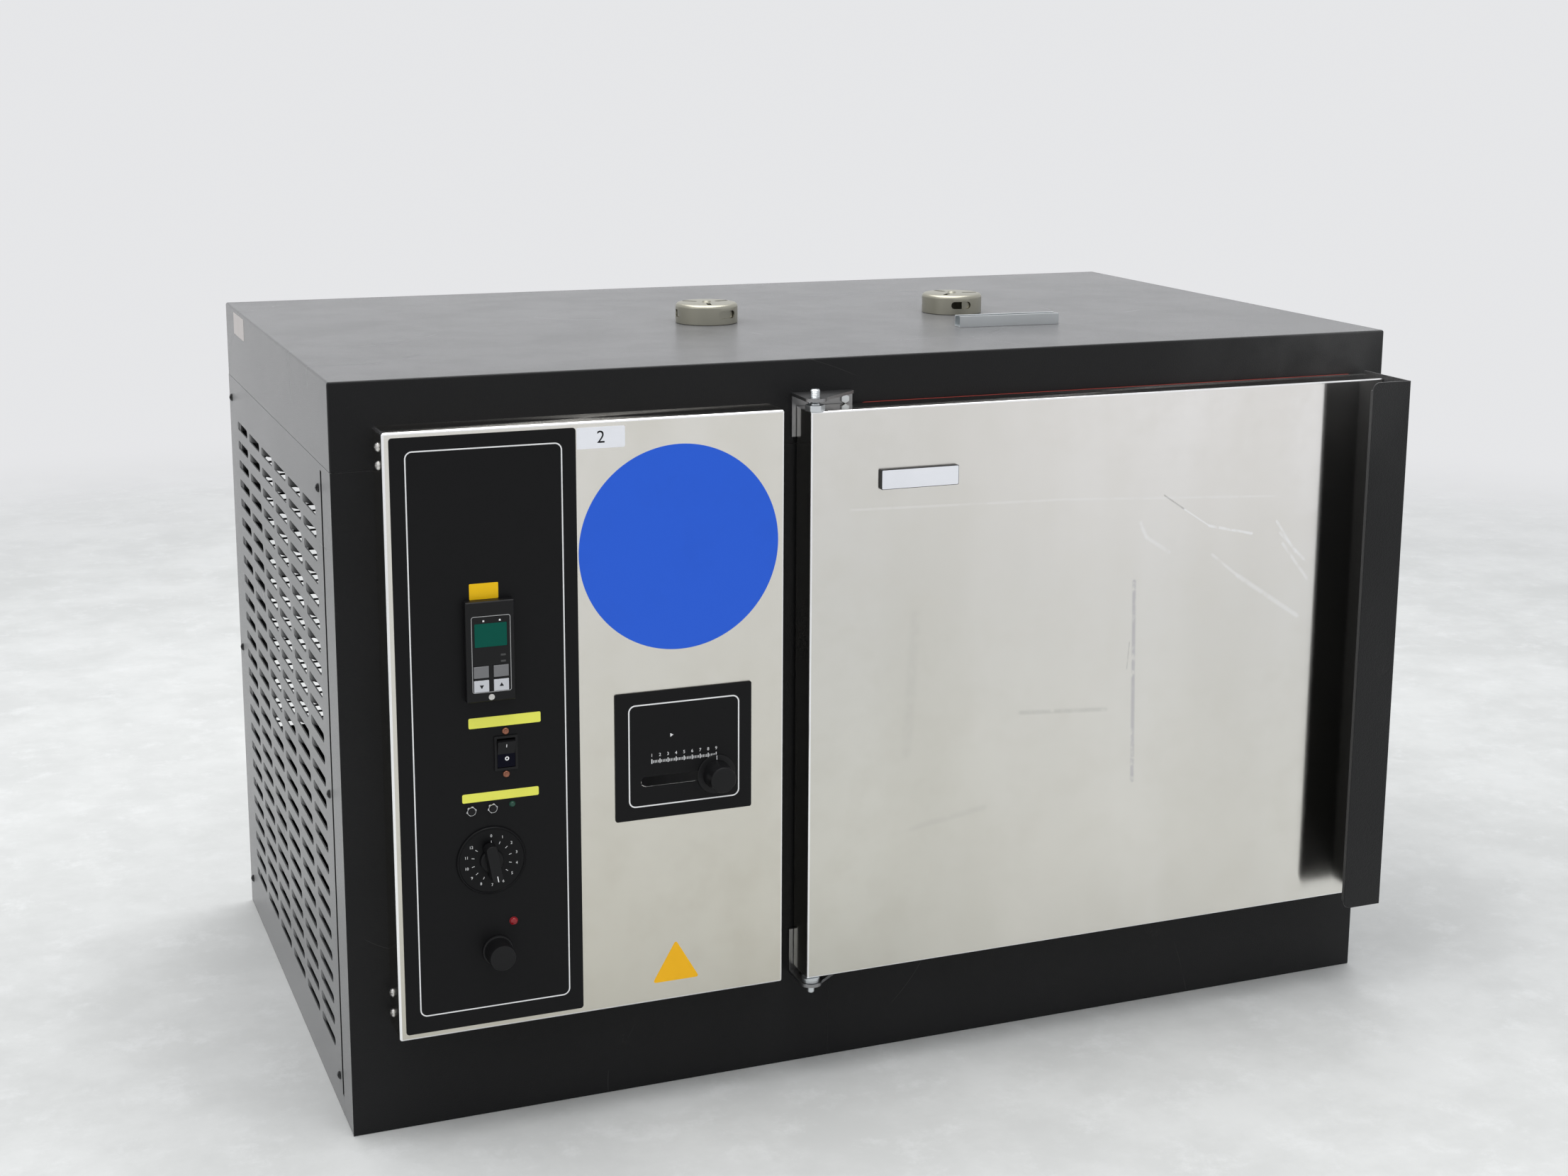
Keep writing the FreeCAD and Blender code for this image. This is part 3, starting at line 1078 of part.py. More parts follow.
def blower():
    """Motor in the bay, shaft through the wall, bladed wheel and scroll in the plenum."""
    centre = BLOWER_AT
    wall = BAY_WIDTH - SHEET
    motor = rod("x", centre, wall - MOTOR_LENGTH, wall, MOTOR_RADIUS)
    thick, long, high = MOTOR_FOOT
    foot = block((wall - thick, wall), (BLOWER_Y - long / 2, BLOWER_Y + long / 2),
                 (BLOWER_Z - high / 2, BLOWER_Z + high / 2))
    motor = motor.fuse(foot).removeSplitter()
    bore = rod("x", centre, wall - MOTOR_BORE, wall + 1, SHAFT_RADIUS + RUNNING_FIT)
    save("blower_motor", motor.cut(bore))
    x0 = LINER_X0 + WHEEL_GAP
    x1 = x0 + WHEEL_WIDTH
    save("motor_shaft", rod("x", centre, wall - MOTOR_BORE + 1, x1 - 6, SHAFT_RADIUS))
    back = rod("x", centre, x0, x0 + 1.5, WHEEL_RADIUS)
    hub = rod("x", centre, x0, x0 + 20, 2.4 * SHAFT_RADIUS)
    ring = tube("x", centre, x1 - 1.5, x1, WHEEL_RADIUS, WHEEL_INNER)
    blades = []
    for number in range(BLADES):
        blade = block((x0 + 1, x1 - 1), (BLOWER_Y + WHEEL_INNER + 0.5, BLOWER_Y + WHEEL_RADIUS - 0.5),
                      (BLOWER_Z - 0.5, BLOWER_Z + 0.5))
        root = V(0, BLOWER_Y + WHEEL_RADIUS - 0.5, BLOWER_Z)
        blade.rotate(root, V(1, 0, 0), 22)
        blade.rotate(V(0, BLOWER_Y, BLOWER_Z), V(1, 0, 0), 360 * number / BLADES)
        blades.append(blade)
    wheel = back.fuse([hub, ring] + blades)
    save("blower_wheel", wheel.cut(rod("x", centre, x0 - 1, x1 - 6, SHAFT_RADIUS)))
    save("blower_scroll", scroll_shape(LINER_X0, LINER_X0 + SCROLL_WIDTH))


def volute(x, grow, depth):
    """Scroll body: four quarter turns, each a step larger, with a straight outlet channel on top."""
    s = SCROLL_STEP
    start = SCROLL_RADIUS + grow
    y, z = BLOWER_Y, BLOWER_Z
    centres = [(0, 0), (0, -s), (s, -s), (s, 0)]
    edges = []
    for quarter, (dy, dz) in enumerate(centres):
        turns = [math.radians(90 * quarter + part) for part in (0, 45, 90)]
        r = start + s * quarter
        arc = [V(x, y + dy + r * math.cos(t), z + dz + r * math.sin(t)) for t in turns]
        edges.append(Part.Arc(*arc).toShape())
    end = V(x, y + start + 4 * s, z)
    edges.append(Part.LineSegment(end, V(x, y + start, z)).toShape())
    body = Part.Face(Part.Wire(edges)).extrude(V(depth, 0, 0))
    left = y + SCROLL_RADIUS - grow
    channel = block((x, x + depth), (left, end.y), (z - 1, z + SCROLL_OUTLET))
    return body.fuse(channel)


def scroll_shape(x0, x1):
    """Hollow scroll with an inlet on the chamber side and an open outlet channel."""
    shell = volute(x0, LINER, x1 - x0).cut(volute(x0 + LINER, 0, x1 - x0 - 2 * LINER))
    shell = shell.cut(rod("x", BLOWER_AT, x1 - 3, x1 + 3, SCROLL_INLET))
    shell = shell.cut(rod("x", BLOWER_AT, x0 - 3, x0 + 3, 3 * SHAFT_RADIUS))
    mouth = (BLOWER_Z + SCROLL_OUTLET - LINER, BLOWER_Z + SCROLL_OUTLET + 1)
    return shell.cut(block((x0 - 1, x1 + 1), (BLOWER_Y, BLOWER_Y + 2 * SCROLL_RADIUS), mouth))


def bent_rod(points, bend, radius):
    """Eight-sided rod along straight runs that are joined by arcs of one bend radius."""
    edges = []
    last = points[0]
    for before, corner, after in zip(points, points[1:], points[2:]):
        to = (corner - before).normalize()
        on = (after - corner).normalize()
        start = corner - to * bend
        end = corner + on * bend
        middle = corner + (on - to) * bend * (1 - math.sqrt(0.5))
        if (start - last).Length > 0.001:
            edges.append(Part.LineSegment(last, start).toShape())
        edges.append(Part.Arc(start, middle, end).toShape())
        last = end
    edges.append(Part.LineSegment(last, points[-1]).toShape())
    first = (points[1] - points[0]).normalize()
    across = first.cross(V(0, 0, 1)).normalize()
    up = first.cross(across)
    turns = [2 * math.pi * side / BENT_SIDES for side in range(BENT_SIDES)]
    ring = [points[0] + (across * math.cos(t) + up * math.sin(t)) * radius for t in turns]
    section = Part.makePolygon(ring + ring[:1])
    return Part.Wire(edges).makePipeShell([section], True, True)


def heater():
    """Sheathed heating element bent into legs low in the plenum, its ends through the liner."""
    x = LINER_X0 + LEFT_DUCT / 2
    y0, y1 = depths(HEATER_INSETS)
    z = LINER_Z0 + HEATER_LOW
    points = [V(LINER_X0, y0, z), V(x, y0, z)]
    for leg in range(HEATER_LEGS):
        height = z + HEATER_PITCH * leg
        near, far = (y0, y1) if leg % 2 == 0 else (y1, y0)
        points += [V(x, near, height), V(x, far, height)]
    points = points[:1] + points[2:]
    points.append(V(LINER_X0, points[-1].y, points[-1].z))
    save("heater_element", bent_rod(points, HEATER_PITCH / 2, HEATER_TUBE))


def power_inlet():
    """Cable gland low on the rear panel."""
    y = CASE_DEPTH
    corner = GLAND_FLATS / math.sqrt(3)
    nut = Part.Face(regular("y", y, GLAND_AT, corner, 6)).extrude(V(0, 6, 0))
    dome = cone("y", GLAND_AT, y + 6, y + GLAND_LENGTH, 0.42 * GLAND_FLATS, 0.3 * GLAND_FLATS)
    thread = rod("y", GLAND_AT, y - 10, y, GLAND_BORE + 2)
    save("power_inlet", nut.fuse([dome, thread]).cut(rod("y", GLAND_AT, y - 11, y + 30, GLAND_BORE)))


def spare_channel():
    """Short loose channel with inward lips that lies on the top cover."""
    length, width, height = CHANNEL
    x = VENT_CENTRES[1][0] + CHANNEL_FROM_VENT[0]
    y = VENT_DEPTH + CHANNEL_FROM_VENT[1]
    z = CASE_HEIGHT
    t, lip = CHANNEL_SHEET, CHANNEL_LIP
    section = [(0, 0), (width, 0), (width, height), (width - lip, height), (width - lip, height - t),
               (width - t, height - t), (width - t, t), (t, t), (t, height - t), (lip, height - t),
               (lip, height), (0, height)]
    outline = polygon("x", x, [(y + across, z + up) for across, up in section])
    body = Part.Face(outline).extrude(V(length, 0, 0))
    body.rotate(V(x, y, z), V(0, 0, 1), CHANNEL_TURN)
    save("spare_channel", body)


base_pan()
fascias()
top_cover()
side_panels()
rear_panel()
frame_posts()
panel_screws()
bay_wall()
chamber_liner()
insulation()
duct_walls()
shelf_supports()
shelves()
hinge_brackets()
hinge_studs()
magnet_catch()
door()
door_handle()
control_cover()
control_overlay()
cover_screws()
controller()
rocker_switch()
buttons_and_lamps()
timer()
limit_thermostat()
air_slider()
vents()
blower()
heater()
power_inlet()
spare_channel()
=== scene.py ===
# %% [markdown]
# # A laboratory oven, dressed in Blender
#
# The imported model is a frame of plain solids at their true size. This lesson gives each of them a
# finish, and models the pieces that the eye rests on: the slotted side panel, the knobs and keys,
# the vents, the labels and the hinge. Everything is in metres, in the frame's own axes: X to the
# right of the oven's front, Y towards its rear, Z up.

# %% Load the frame
import json
import math
import bpy
import bmesh
from mathutils import Matrix, Vector

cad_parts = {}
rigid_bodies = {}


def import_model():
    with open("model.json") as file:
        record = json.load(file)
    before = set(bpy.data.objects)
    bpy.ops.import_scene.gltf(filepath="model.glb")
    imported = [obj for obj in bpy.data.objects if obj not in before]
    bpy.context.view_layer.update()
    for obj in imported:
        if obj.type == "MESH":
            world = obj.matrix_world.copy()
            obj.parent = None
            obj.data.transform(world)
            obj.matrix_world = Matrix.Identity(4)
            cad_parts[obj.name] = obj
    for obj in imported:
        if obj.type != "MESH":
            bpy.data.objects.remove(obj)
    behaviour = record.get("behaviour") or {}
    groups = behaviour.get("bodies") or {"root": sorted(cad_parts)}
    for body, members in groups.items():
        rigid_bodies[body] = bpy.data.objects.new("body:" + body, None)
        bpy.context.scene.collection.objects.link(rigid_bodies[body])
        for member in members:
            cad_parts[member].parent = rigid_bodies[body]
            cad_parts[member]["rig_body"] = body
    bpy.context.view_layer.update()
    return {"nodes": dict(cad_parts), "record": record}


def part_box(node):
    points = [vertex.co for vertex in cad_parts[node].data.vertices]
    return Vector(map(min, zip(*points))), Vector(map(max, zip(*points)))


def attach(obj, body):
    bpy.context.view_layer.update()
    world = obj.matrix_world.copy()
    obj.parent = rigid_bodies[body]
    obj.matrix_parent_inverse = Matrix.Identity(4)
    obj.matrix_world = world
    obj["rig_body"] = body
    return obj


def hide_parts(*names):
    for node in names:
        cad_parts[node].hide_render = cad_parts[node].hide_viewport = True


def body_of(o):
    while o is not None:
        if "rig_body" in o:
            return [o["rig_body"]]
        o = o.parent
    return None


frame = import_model()
nodes = frame["nodes"]
print("frame nodes:", len(nodes))

# %% [markdown]
# ## Places on the oven
#
# A maker measures from the oven's front left corner at the floor, in millimetres. The helper `at`
# turns such a place into the frame's metres, so that the numbers below read like a drawing.

# %% The oven's corner and a helper for places
MM = 0.001
CASE_X, CASE_Y = 1128.0, 642.0
LEFT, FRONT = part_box("top_cover")[0].xy


def at(x, y, z):
    """Millimetres from the front left corner at the floor, as a point of the frame."""
    return Vector((LEFT + x * MM, FRONT + y * MM, z * MM))


def front_of(node):
    """How far a node's front lies behind the case's front, in millimetres."""
    return (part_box(node)[0].y - FRONT) / MM


print("case corner", round(LEFT, 4), round(FRONT, 4), "front sheet at", round(front_of("control_overlay"), 2))

# %% [markdown]
# ## The camera
#
# The photograph was taken from the left, a little above the oven's top, with a long lens. The
# values below are the place, the turns and the lens that make the frame's corners fall where the
# photograph has them. A small shift keeps the upright edges in step with the photograph's crop.

# %% Camera
IMAGE_WIDTH, IMAGE_HEIGHT = 2212, 1659
CAMERA_PLACE = (-0.9084, -2.3111, 1.0296)
CAMERA_YAW, CAMERA_PITCH, CAMERA_ROLL = 22.403, -11.600, 0.479
FOCAL_PIXELS = 3170.7
OPTICAL_CENTRE = (1159.35, 701.24)
SENSOR = 36.0
FAR_CLIP = 50

camera_data = bpy.data.cameras.new("camera")
camera = bpy.data.objects.new("camera", camera_data)
bpy.context.scene.collection.objects.link(camera)
camera_data.sensor_width = SENSOR
camera_data.lens = FOCAL_PIXELS * SENSOR / IMAGE_WIDTH
camera_data.shift_x = (IMAGE_WIDTH / 2 - OPTICAL_CENTRE[0]) / IMAGE_WIDTH
camera_data.shift_y = (OPTICAL_CENTRE[1] - IMAGE_HEIGHT / 2) / IMAGE_WIDTH
camera_data.clip_end = FAR_CLIP
turn = (Matrix.Rotation(math.radians(-CAMERA_YAW), 4, "Z")
        @ Matrix.Rotation(math.radians(90 + CAMERA_PITCH), 4, "X")
        @ Matrix.Rotation(math.radians(CAMERA_ROLL), 4, "Z"))
camera.matrix_world = Matrix.Translation(CAMERA_PLACE) @ turn
bpy.context.scene.camera = camera
print("lens", round(camera_data.lens, 2), "shift", round(camera_data.shift_x, 4),
      round(camera_data.shift_y, 4))

# %% [markdown]
# ## Small tools for shaders
#
# A material here is a Principled shader with a few nodes in front of it. These helpers make the
# node trees short to read: one makes a material, one adds a node and sets its sockets.

# %% Node helpers
def fill(tree, sockets, values):
    """Give each socket its value: a link if the value is itself a socket, or else a number."""
    for socket, value in zip(sockets, values):
        if hasattr(value, "is_output"):
            tree.links.new(value, socket)
        else:
            socket.default_value = value


def add(tree, kind, **values):
    """Add a node; values are its properties or its input sockets, named with underscores."""
    node = tree.nodes.new(kind)
    for name, value in values.items():
        socket = node.inputs.get(name.replace("_", " "))
        if hasattr(node, name):
            setattr(node, name, value)
        elif socket is not None:
            fill(tree, [socket], [value])
        else:
            raise KeyError(f"{kind} has nothing named {name}")
    return node


def maths(tree, operation, *values):
    """A Math node's result, from numbers or sockets."""
    node = add(tree, "ShaderNodeMath", operation=operation)
    fill(tree, node.inputs, values)
    return node.outputs[0]


def vector_maths(tree, operation, *values):
    """A Vector Math node's result, from vectors or sockets."""
    node = add(tree, "ShaderNodeVectorMath", operation=operation)
    fill(tree, node.inputs, values)
    return node.outputs["Value" if operation in ("DISTANCE", "DOT_PRODUCT", "LENGTH") else "Vector"]


def part_of(tree, vector, axis):
    """A vector's X, Y or Z."""
    return add(tree, "ShaderNodeSeparateXYZ", Vector=vector).outputs[axis]


def ramp(tree, value, low, high, start=0.0, end=1.0):
    """A value mapped smoothly from low..high to start..end."""
    node = add(tree, "ShaderNodeMapRange", interpolation_type="SMOOTHSTEP")
    fill(tree, node.inputs, (value, low, high, start, end))
    return node.outputs["Result"]


def noise(tree, place, scale, detail, roughness=0.5):
    """A noise texture's value at each place."""
    return add(tree, "ShaderNodeTexNoise", Vector=place, Scale=scale, Detail=detail,
               Roughness=roughness).outputs["Fac"]


def blend_colour(tree, factor, first, second, how="MIX"):
    """A mix of two colours by a factor."""
    node = add(tree, "ShaderNodeMix", data_type="RGBA", blend_type=how)
    first, second = [(*colour, 1) if isinstance(colour, tuple) else colour for colour in (first, second)]
    fill(tree, (node.inputs[0], node.inputs[6], node.inputs[7]), (factor, first, second))
    return node.outputs[2]


def raise_surface(tree, shader, height, strength, distance):
    """Feed a height, through a bump, to a shader's normal."""
    bump = add(tree, "ShaderNodeBump", Strength=strength, Distance=distance, Height=height)
    tree.links.new(bump.outputs["Normal"], shader.inputs["Normal"])


print("node helpers ready")


# %% Helpers for materials and groups
def new_material(name, colour, roughness, metallic=0.0, specular=0.5):
    """A material with one Principled shader; returns the material, its tree and the shader."""
    material = bpy.data.materials.new(name)
    material.use_nodes = True
    tree = material.node_tree
    shader = tree.nodes["Principled BSDF"]
    shader.inputs["Base Color"].default_value = (*colour, 1)
    shader.inputs["Roughness"].default_value = roughness
    shader.inputs["Metallic"].default_value = metallic
    shader.inputs["Specular IOR Level"].default_value = specular
    return material, tree, shader


def object_place(tree):
    """Object coordinates, which are the frame's metres."""
    return tree.nodes.new("ShaderNodeTexCoord").outputs["Object"]


FLOAT, VECTOR = "NodeSocketFloat", "NodeSocketVector"


def new_group(name, outputs, **inputs):
    """A group that is given a place and more inputs, floats or vectors, and puts out floats."""
    tree = bpy.data.node_groups.new(name, "ShaderNodeTree")
    tree.interface.new_socket("Place", in_out="INPUT", socket_type=VECTOR)
    for label, value in inputs.items():
        kind = VECTOR if isinstance(value, tuple) else FLOAT
        tree.interface.new_socket(label, in_out="INPUT", socket_type=kind).default_value = value
    for label in outputs:
        tree.interface.new_socket(label, in_out="OUTPUT", socket_type=FLOAT)
    return tree, tree.nodes.new("NodeGroupInput").outputs, tree.nodes.new("NodeGroupOutput").inputs


def use_group(tree, group, **values):
    """Place a group in a material and set or link its inputs."""
    node = tree.nodes.new("ShaderNodeGroup")
    node.node_tree = group
    fill(tree, [node.inputs[name] for name in values], values.values())
    return node.outputs


print("material helpers ready")

# %% [markdown]
# ## Effects that several finishes share
#
# Powder coat has a leathery grain; stainless sheet has fine lines from its brushing and a film where
# it has been wiped; every large surface of a used oven has scuffs, marks and dust. Each effect is one
# node group, placed in the materials with its own scale and amount.

# %% Grain of the textured powder coat
grain_group, given, out = new_group("powder_grain", ["Height", "Tone"], Scale=900.0)
pebbles = noise(grain_group, given["Place"], given["Scale"], 2.0, 0.6)
grain_group.links.new(ramp(grain_group, pebbles, 0.35, 0.65), out["Height"])
grain_group.links.new(noise(grain_group, given["Place"], 7.0, 4.0, 0.55), out["Tone"])
print("group", grain_group.name)

# %% Dust on faces that look up, partly painted light on the top
dust_and_top_light_group, given, out = new_group("dust_and_painted_top_light", ["Mask"], Scale=14.0)
upward = part_of(dust_and_top_light_group, add(dust_and_top_light_group, "ShaderNodeNewGeometry").outputs["Normal"], "Z")
patches = noise(dust_and_top_light_group, given["Place"], given["Scale"], 7.0, 0.62)
dust_and_top_light_group.links.new(maths(dust_and_top_light_group, "MULTIPLY", ramp(dust_and_top_light_group, upward, 0.8, 0.98),
                           ramp(dust_and_top_light_group, patches, 0.36, 0.64, 0.55, 1.0)), out["Mask"])
print("group", dust_and_top_light_group.name)

# %% A corner rubbed by hands, and painted lighter as if lit
rub_and_light_group, given, out = new_group("hand_rub_and_painted_light", ["Mask"], Centre=(0.0, 0.0, 0.0), Tone=0.5, Amount=1.0)
reach = vector_maths(rub_and_light_group, "DISTANCE", given["Place"], given["Centre"])
rub_and_light_group.links.new(maths(rub_and_light_group, "MULTIPLY", ramp(rub_and_light_group, reach, 0.02, 0.24, given["Amount"], 0.0),
                          ramp(rub_and_light_group, given["Tone"], 0.3, 0.62, 0.25, 1.0)), out["Mask"])
print("group", rub_and_light_group.name)

# %% Lines of brushed sheet
brush_group, given, out = new_group("brushed_lines", ["Height", "Tone"], Fineness=1500.0, Length=6.0)
stretch = add(brush_group, "ShaderNodeCombineXYZ", X=given["Length"], Y=given["Fineness"],
              Z=given["Fineness"])
stretched_place = vector_maths(brush_group, "MULTIPLY", given["Place"], stretch.outputs[0])
brush_group.links.new(noise(brush_group, stretched_place, 1.0, 3.0, 0.7), out["Height"])
coarse_place = vector_maths(brush_group, "MULTIPLY", stretched_place, (0.5, 0.12, 0.12))
brush_group.links.new(noise(brush_group, coarse_place, 1.0, 4.0, 0.6), out["Tone"])
print("group", brush_group.name)

# %% Soft upright bands, and a film where steel is wiped
film_group, given, out = new_group("wiped_film", ["Bands", "Film"], Scale=24.0)
upright_place = vector_maths(film_group, "MULTIPLY", given["Place"], (6.5, 6.5, 1.1))
film_group.links.new(noise(film_group, upright_place, 1.0, 3.0), out["Bands"])
film_group.links.new(noise(film_group, given["Place"], given["Scale"], 6.0, 0.65), out["Film"])
print("group", film_group.name)

# %% Painted reflection: a tint that grows with height and towards the right
RISE_SHARE, SIDE_SHARE = 0.57, 0.43
painted_reflection_group, given, out = new_group("painted_reflection_tint", ["Mask"])
rise = maths(painted_reflection_group, "MULTIPLY", ramp(painted_reflection_group, part_of(painted_reflection_group, given["Place"], "Z"), 0.08, 0.7),
             RISE_SHARE)
aside = maths(painted_reflection_group, "MULTIPLY", ramp(painted_reflection_group, part_of(painted_reflection_group, given["Place"], "X"), -0.12, 0.22),
              SIDE_SHARE)
painted_reflection_group.links.new(maths(painted_reflection_group, "ADD", rise, aside), out["Mask"])
print("group", painted_reflection_group.name)

# %% Scuffs and thin scratches
scuff_group, given, out = new_group("scuffs", ["Scuff", "Scratch"], Scale=14.0, Rarity=0.62)
scaled_place = vector_maths(scuff_group, "MULTIPLY", given["Place"], given["Scale"])
patches = noise(scuff_group, scaled_place, 1.0, 5.0, 0.7)
thick = ramp(scuff_group, maths(scuff_group, "SUBTRACT", patches, given["Rarity"]), 0.0, 0.09)
speckle = ramp(scuff_group, noise(scuff_group, given["Place"], 420.0, 2.0), 0.48, 0.62)
scuff_group.links.new(maths(scuff_group, "MULTIPLY", thick, speckle), out["Scuff"])
warp = add(scuff_group, "ShaderNodeTexNoise", Vector=given["Place"], Scale=3.0, Detail=1.0)
bent_place = vector_maths(scuff_group, "MULTIPLY_ADD", warp.outputs["Color"], (0.35, 0.35, 0.35),
                          given["Place"])
cells = add(scuff_group, "ShaderNodeTexVoronoi", feature="DISTANCE_TO_EDGE", Scale=3.1, Vector=bent_place)
thin = ramp(scuff_group, cells.outputs["Distance"], 0.0, 0.0022, 1.0, 0.0)
broken = ramp(scuff_group, noise(scuff_group, given["Place"], 9.0, 2.0), 0.55, 0.66)
scuff_group.links.new(maths(scuff_group, "MULTIPLY", thin, broken), out["Scratch"])
print("group", scuff_group.name)

# %% A mark along a straight line
mark_group, given, out = new_group("line_mark", ["Mask"], Start=(0.0, 0.0, 0.0), Reach=(0.0, 0.0, 0.0),
                                   Width=0.003)
away = vector_maths(mark_group, "SUBTRACT", given["Place"], given["Start"])
along = vector_maths(mark_group, "DOT_PRODUCT", away, given["Reach"])
whole = vector_maths(mark_group, "DOT_PRODUCT", given["Reach"], given["Reach"])
share = maths(mark_group, "MINIMUM", 1.0,
              maths(mark_group, "MAXIMUM", 0.0, maths(mark_group, "DIVIDE", along, whole)))
nearest = vector_maths(mark_group, "MULTIPLY", given["Reach"], share)
widths_away = maths(mark_group, "DIVIDE", vector_maths(mark_group, "DISTANCE", away, nearest), given["Width"])
crumbs = ramp(mark_group, noise(mark_group, given["Place"], 90.0, 4.0, 0.7), 0.3, 0.52)
mark_group.links.new(maths(mark_group, "MULTIPLY", ramp(mark_group, widths_away, 0.2, 1.0, 1.0, 0.0), crumbs),
                     out["Mask"])
print("group", mark_group.name)

# %% Drift of moulded parts, dirt and ripple of stickers
drift_group, given, out = new_group("moulding_drift", ["Drift", "Fine"], Fineness=1400.0)
drift_group.links.new(noise(drift_group, given["Place"], 38.0, 4.0, 0.6), out["Drift"])
drift_group.links.new(noise(drift_group, given["Place"], given["Fineness"], 2.0), out["Fine"])
vinyl_group, given, out = new_group("vinyl_film", ["Dirt", "Waves"], Scale=16.0)
vinyl_group.links.new(noise(vinyl_group, given["Place"], given["Scale"], 7.0, 0.65), out["Dirt"])
vinyl_group.links.new(noise(vinyl_group, given["Place"], 26.0, 1.0), out["Waves"])
print("groups", drift_group.name, vinyl_group.name)

# %% [markdown]
# ## Powder-coated sheet
#
# The case is black with a fine leathery texture. Seen square-on it is almost black, and at a
# glancing angle it turns mid grey, because its gloss mirrors the pale room and a film of dust
# catches the light. So the colour stays near black with a low specular level, a little sheen stands
# for the dust on upright faces, and fine grain breaks up the gloss. On faces that look up the colour
# is lighter in soft patches: partly thicker dust, partly painted light on the top. Scratches are
# duller than the coat around them, and the corner above the door handle is painted lighter, partly
# as hand wear and partly as painted light.

# %% Black powder coat
# The rubbed corner's colour is partly hand wear and partly painted light; the lighter colour on faces that
# look up is partly dust and partly painted light on the top.
RUBBED_AND_LIT_PLACE = at(1075, 0, 712)
BLACK_LOW, BLACK_HIGH = (0.0018, 0.0019, 0.0022), (0.0085, 0.0085, 0.009)
RUBBED_AND_LIT, WORN, DUST_AND_TOP_LIGHT = (0.042, 0.042, 0.042), (0.12, 0.115, 0.11), (0.064, 0.064, 0.065)


def powder_coat(name, roughness=0.2, grain_strength=0.3, rubbed=1.0):
    """Textured black coat; rubbed is how far hands and scratches have worn it, and how strongly the corner
    above the handle is painted lighter.
    """
    material, tree, shader = new_material(name, (0.0045, 0.0046, 0.005), roughness, specular=0.11)
    shader.inputs["Sheen Weight"].default_value = 0.3
    shader.inputs["Sheen Roughness"].default_value = 0.5
    place = object_place(tree)
    grain = use_group(tree, grain_group, Place=place)
    scuff = use_group(tree, scuff_group, Place=place)
    dust = use_group(tree, dust_and_top_light_group, Place=place)
    hands = use_group(tree, rub_and_light_group, Place=place, Centre=RUBBED_AND_LIT_PLACE, Tone=grain["Tone"], Amount=rubbed)
    wear = maths(tree, "MAXIMUM", maths(tree, "MULTIPLY", scuff["Scuff"], 0.07 * rubbed),
                 maths(tree, "MULTIPLY", scuff["Scratch"], 0.1 * rubbed))
    colour = blend_colour(tree, grain["Tone"], BLACK_LOW, BLACK_HIGH)
    # The rubbed corner and up-facing faces are lightened: partly wear and dust, partly painted light.
    for mask, shade in ((hands["Mask"], RUBBED_AND_LIT), (wear, WORN), (dust["Mask"], DUST_AND_TOP_LIGHT)):
        colour = blend_colour(tree, mask, colour, shade)
    tree.links.new(colour, shader.inputs["Base Color"])
    gloss = ramp(tree, grain["Tone"], 0.32, 0.68, roughness - 0.015, roughness + 0.03)
    tree.links.new(maths(tree, "ADD", gloss, maths(tree, "MULTIPLY", scuff["Scratch"], 0.3)),
                   shader.inputs["Roughness"])
    raise_surface(tree, shader, grain["Height"], grain_strength, 0.0003)
    return material


black_coat = powder_coat("black_powder_coat")
handle_coat = powder_coat("handle_powder_coat", 0.36, 0.35, 0.5)
print("materials", black_coat.name, handle_coat.name)

# %% [markdown]
# ## Stainless sheet
#
# The door and the control module are brushed. The brushing stretches the gloss upwards, so the
# handle mirrors in the door as an upright dark band with a sharp side and soft ends. Soft upright
# bands make the colour a little darker and warmer, and wiping leaves a duller, warmer film in
# patches. A painted reflection tints the steel lighter towards the top right and warmer and darker
# towards the bottom left. The marks and scratches on the door are lines between two places, each
# with its width, strength and shade.

# %% Brushed stainless
def brushed_steel(name, tone=(0.79, 0.775, 0.745), roughness=0.21, stretched=0.95, fineness=1500.0,
                  stains=1.0):
    """Steel with upright brushing; stretched is its anisotropy, stains the strength of its film."""
    material, tree, shader = new_material(name, tone, roughness, metallic=1.0)
    shader.inputs["Anisotropic"].default_value = stretched
    shader.inputs["Anisotropic Rotation"].default_value = 0.25
    place = object_place(tree)
    lines = use_group(tree, brush_group, Place=place, Fineness=fineness)
    wiped = use_group(tree, film_group, Place=place)
    dim = tuple(0.86 * part for part in tone)
    warm = (dim[0], dim[1] * 0.985, dim[2] * 0.94)
    colour = blend_colour(tree, ramp(tree, wiped["Bands"], 0.35, 0.65, 0.0, 0.5 * stains), tone, warm)
    colour = blend_colour(tree, ramp(tree, wiped["Film"], 0.4, 0.75, 0.0, 0.3 * stains), colour, warm)
    colour = blend_colour(tree, maths(tree, "MULTIPLY", lines["Tone"], 0.15), colour, dim)
    tree.links.new(colour, shader.inputs["Base Color"])
    tree.links.new(ramp(tree, wiped["Film"], 0.3, 0.72, roughness - 0.01, roughness + 0.02 * stains),
                   shader.inputs["Roughness"])
    raise_surface(tree, shader, lines["Height"], 0.02, 0.0001)
    return material


SHEET_FACE = -41.5


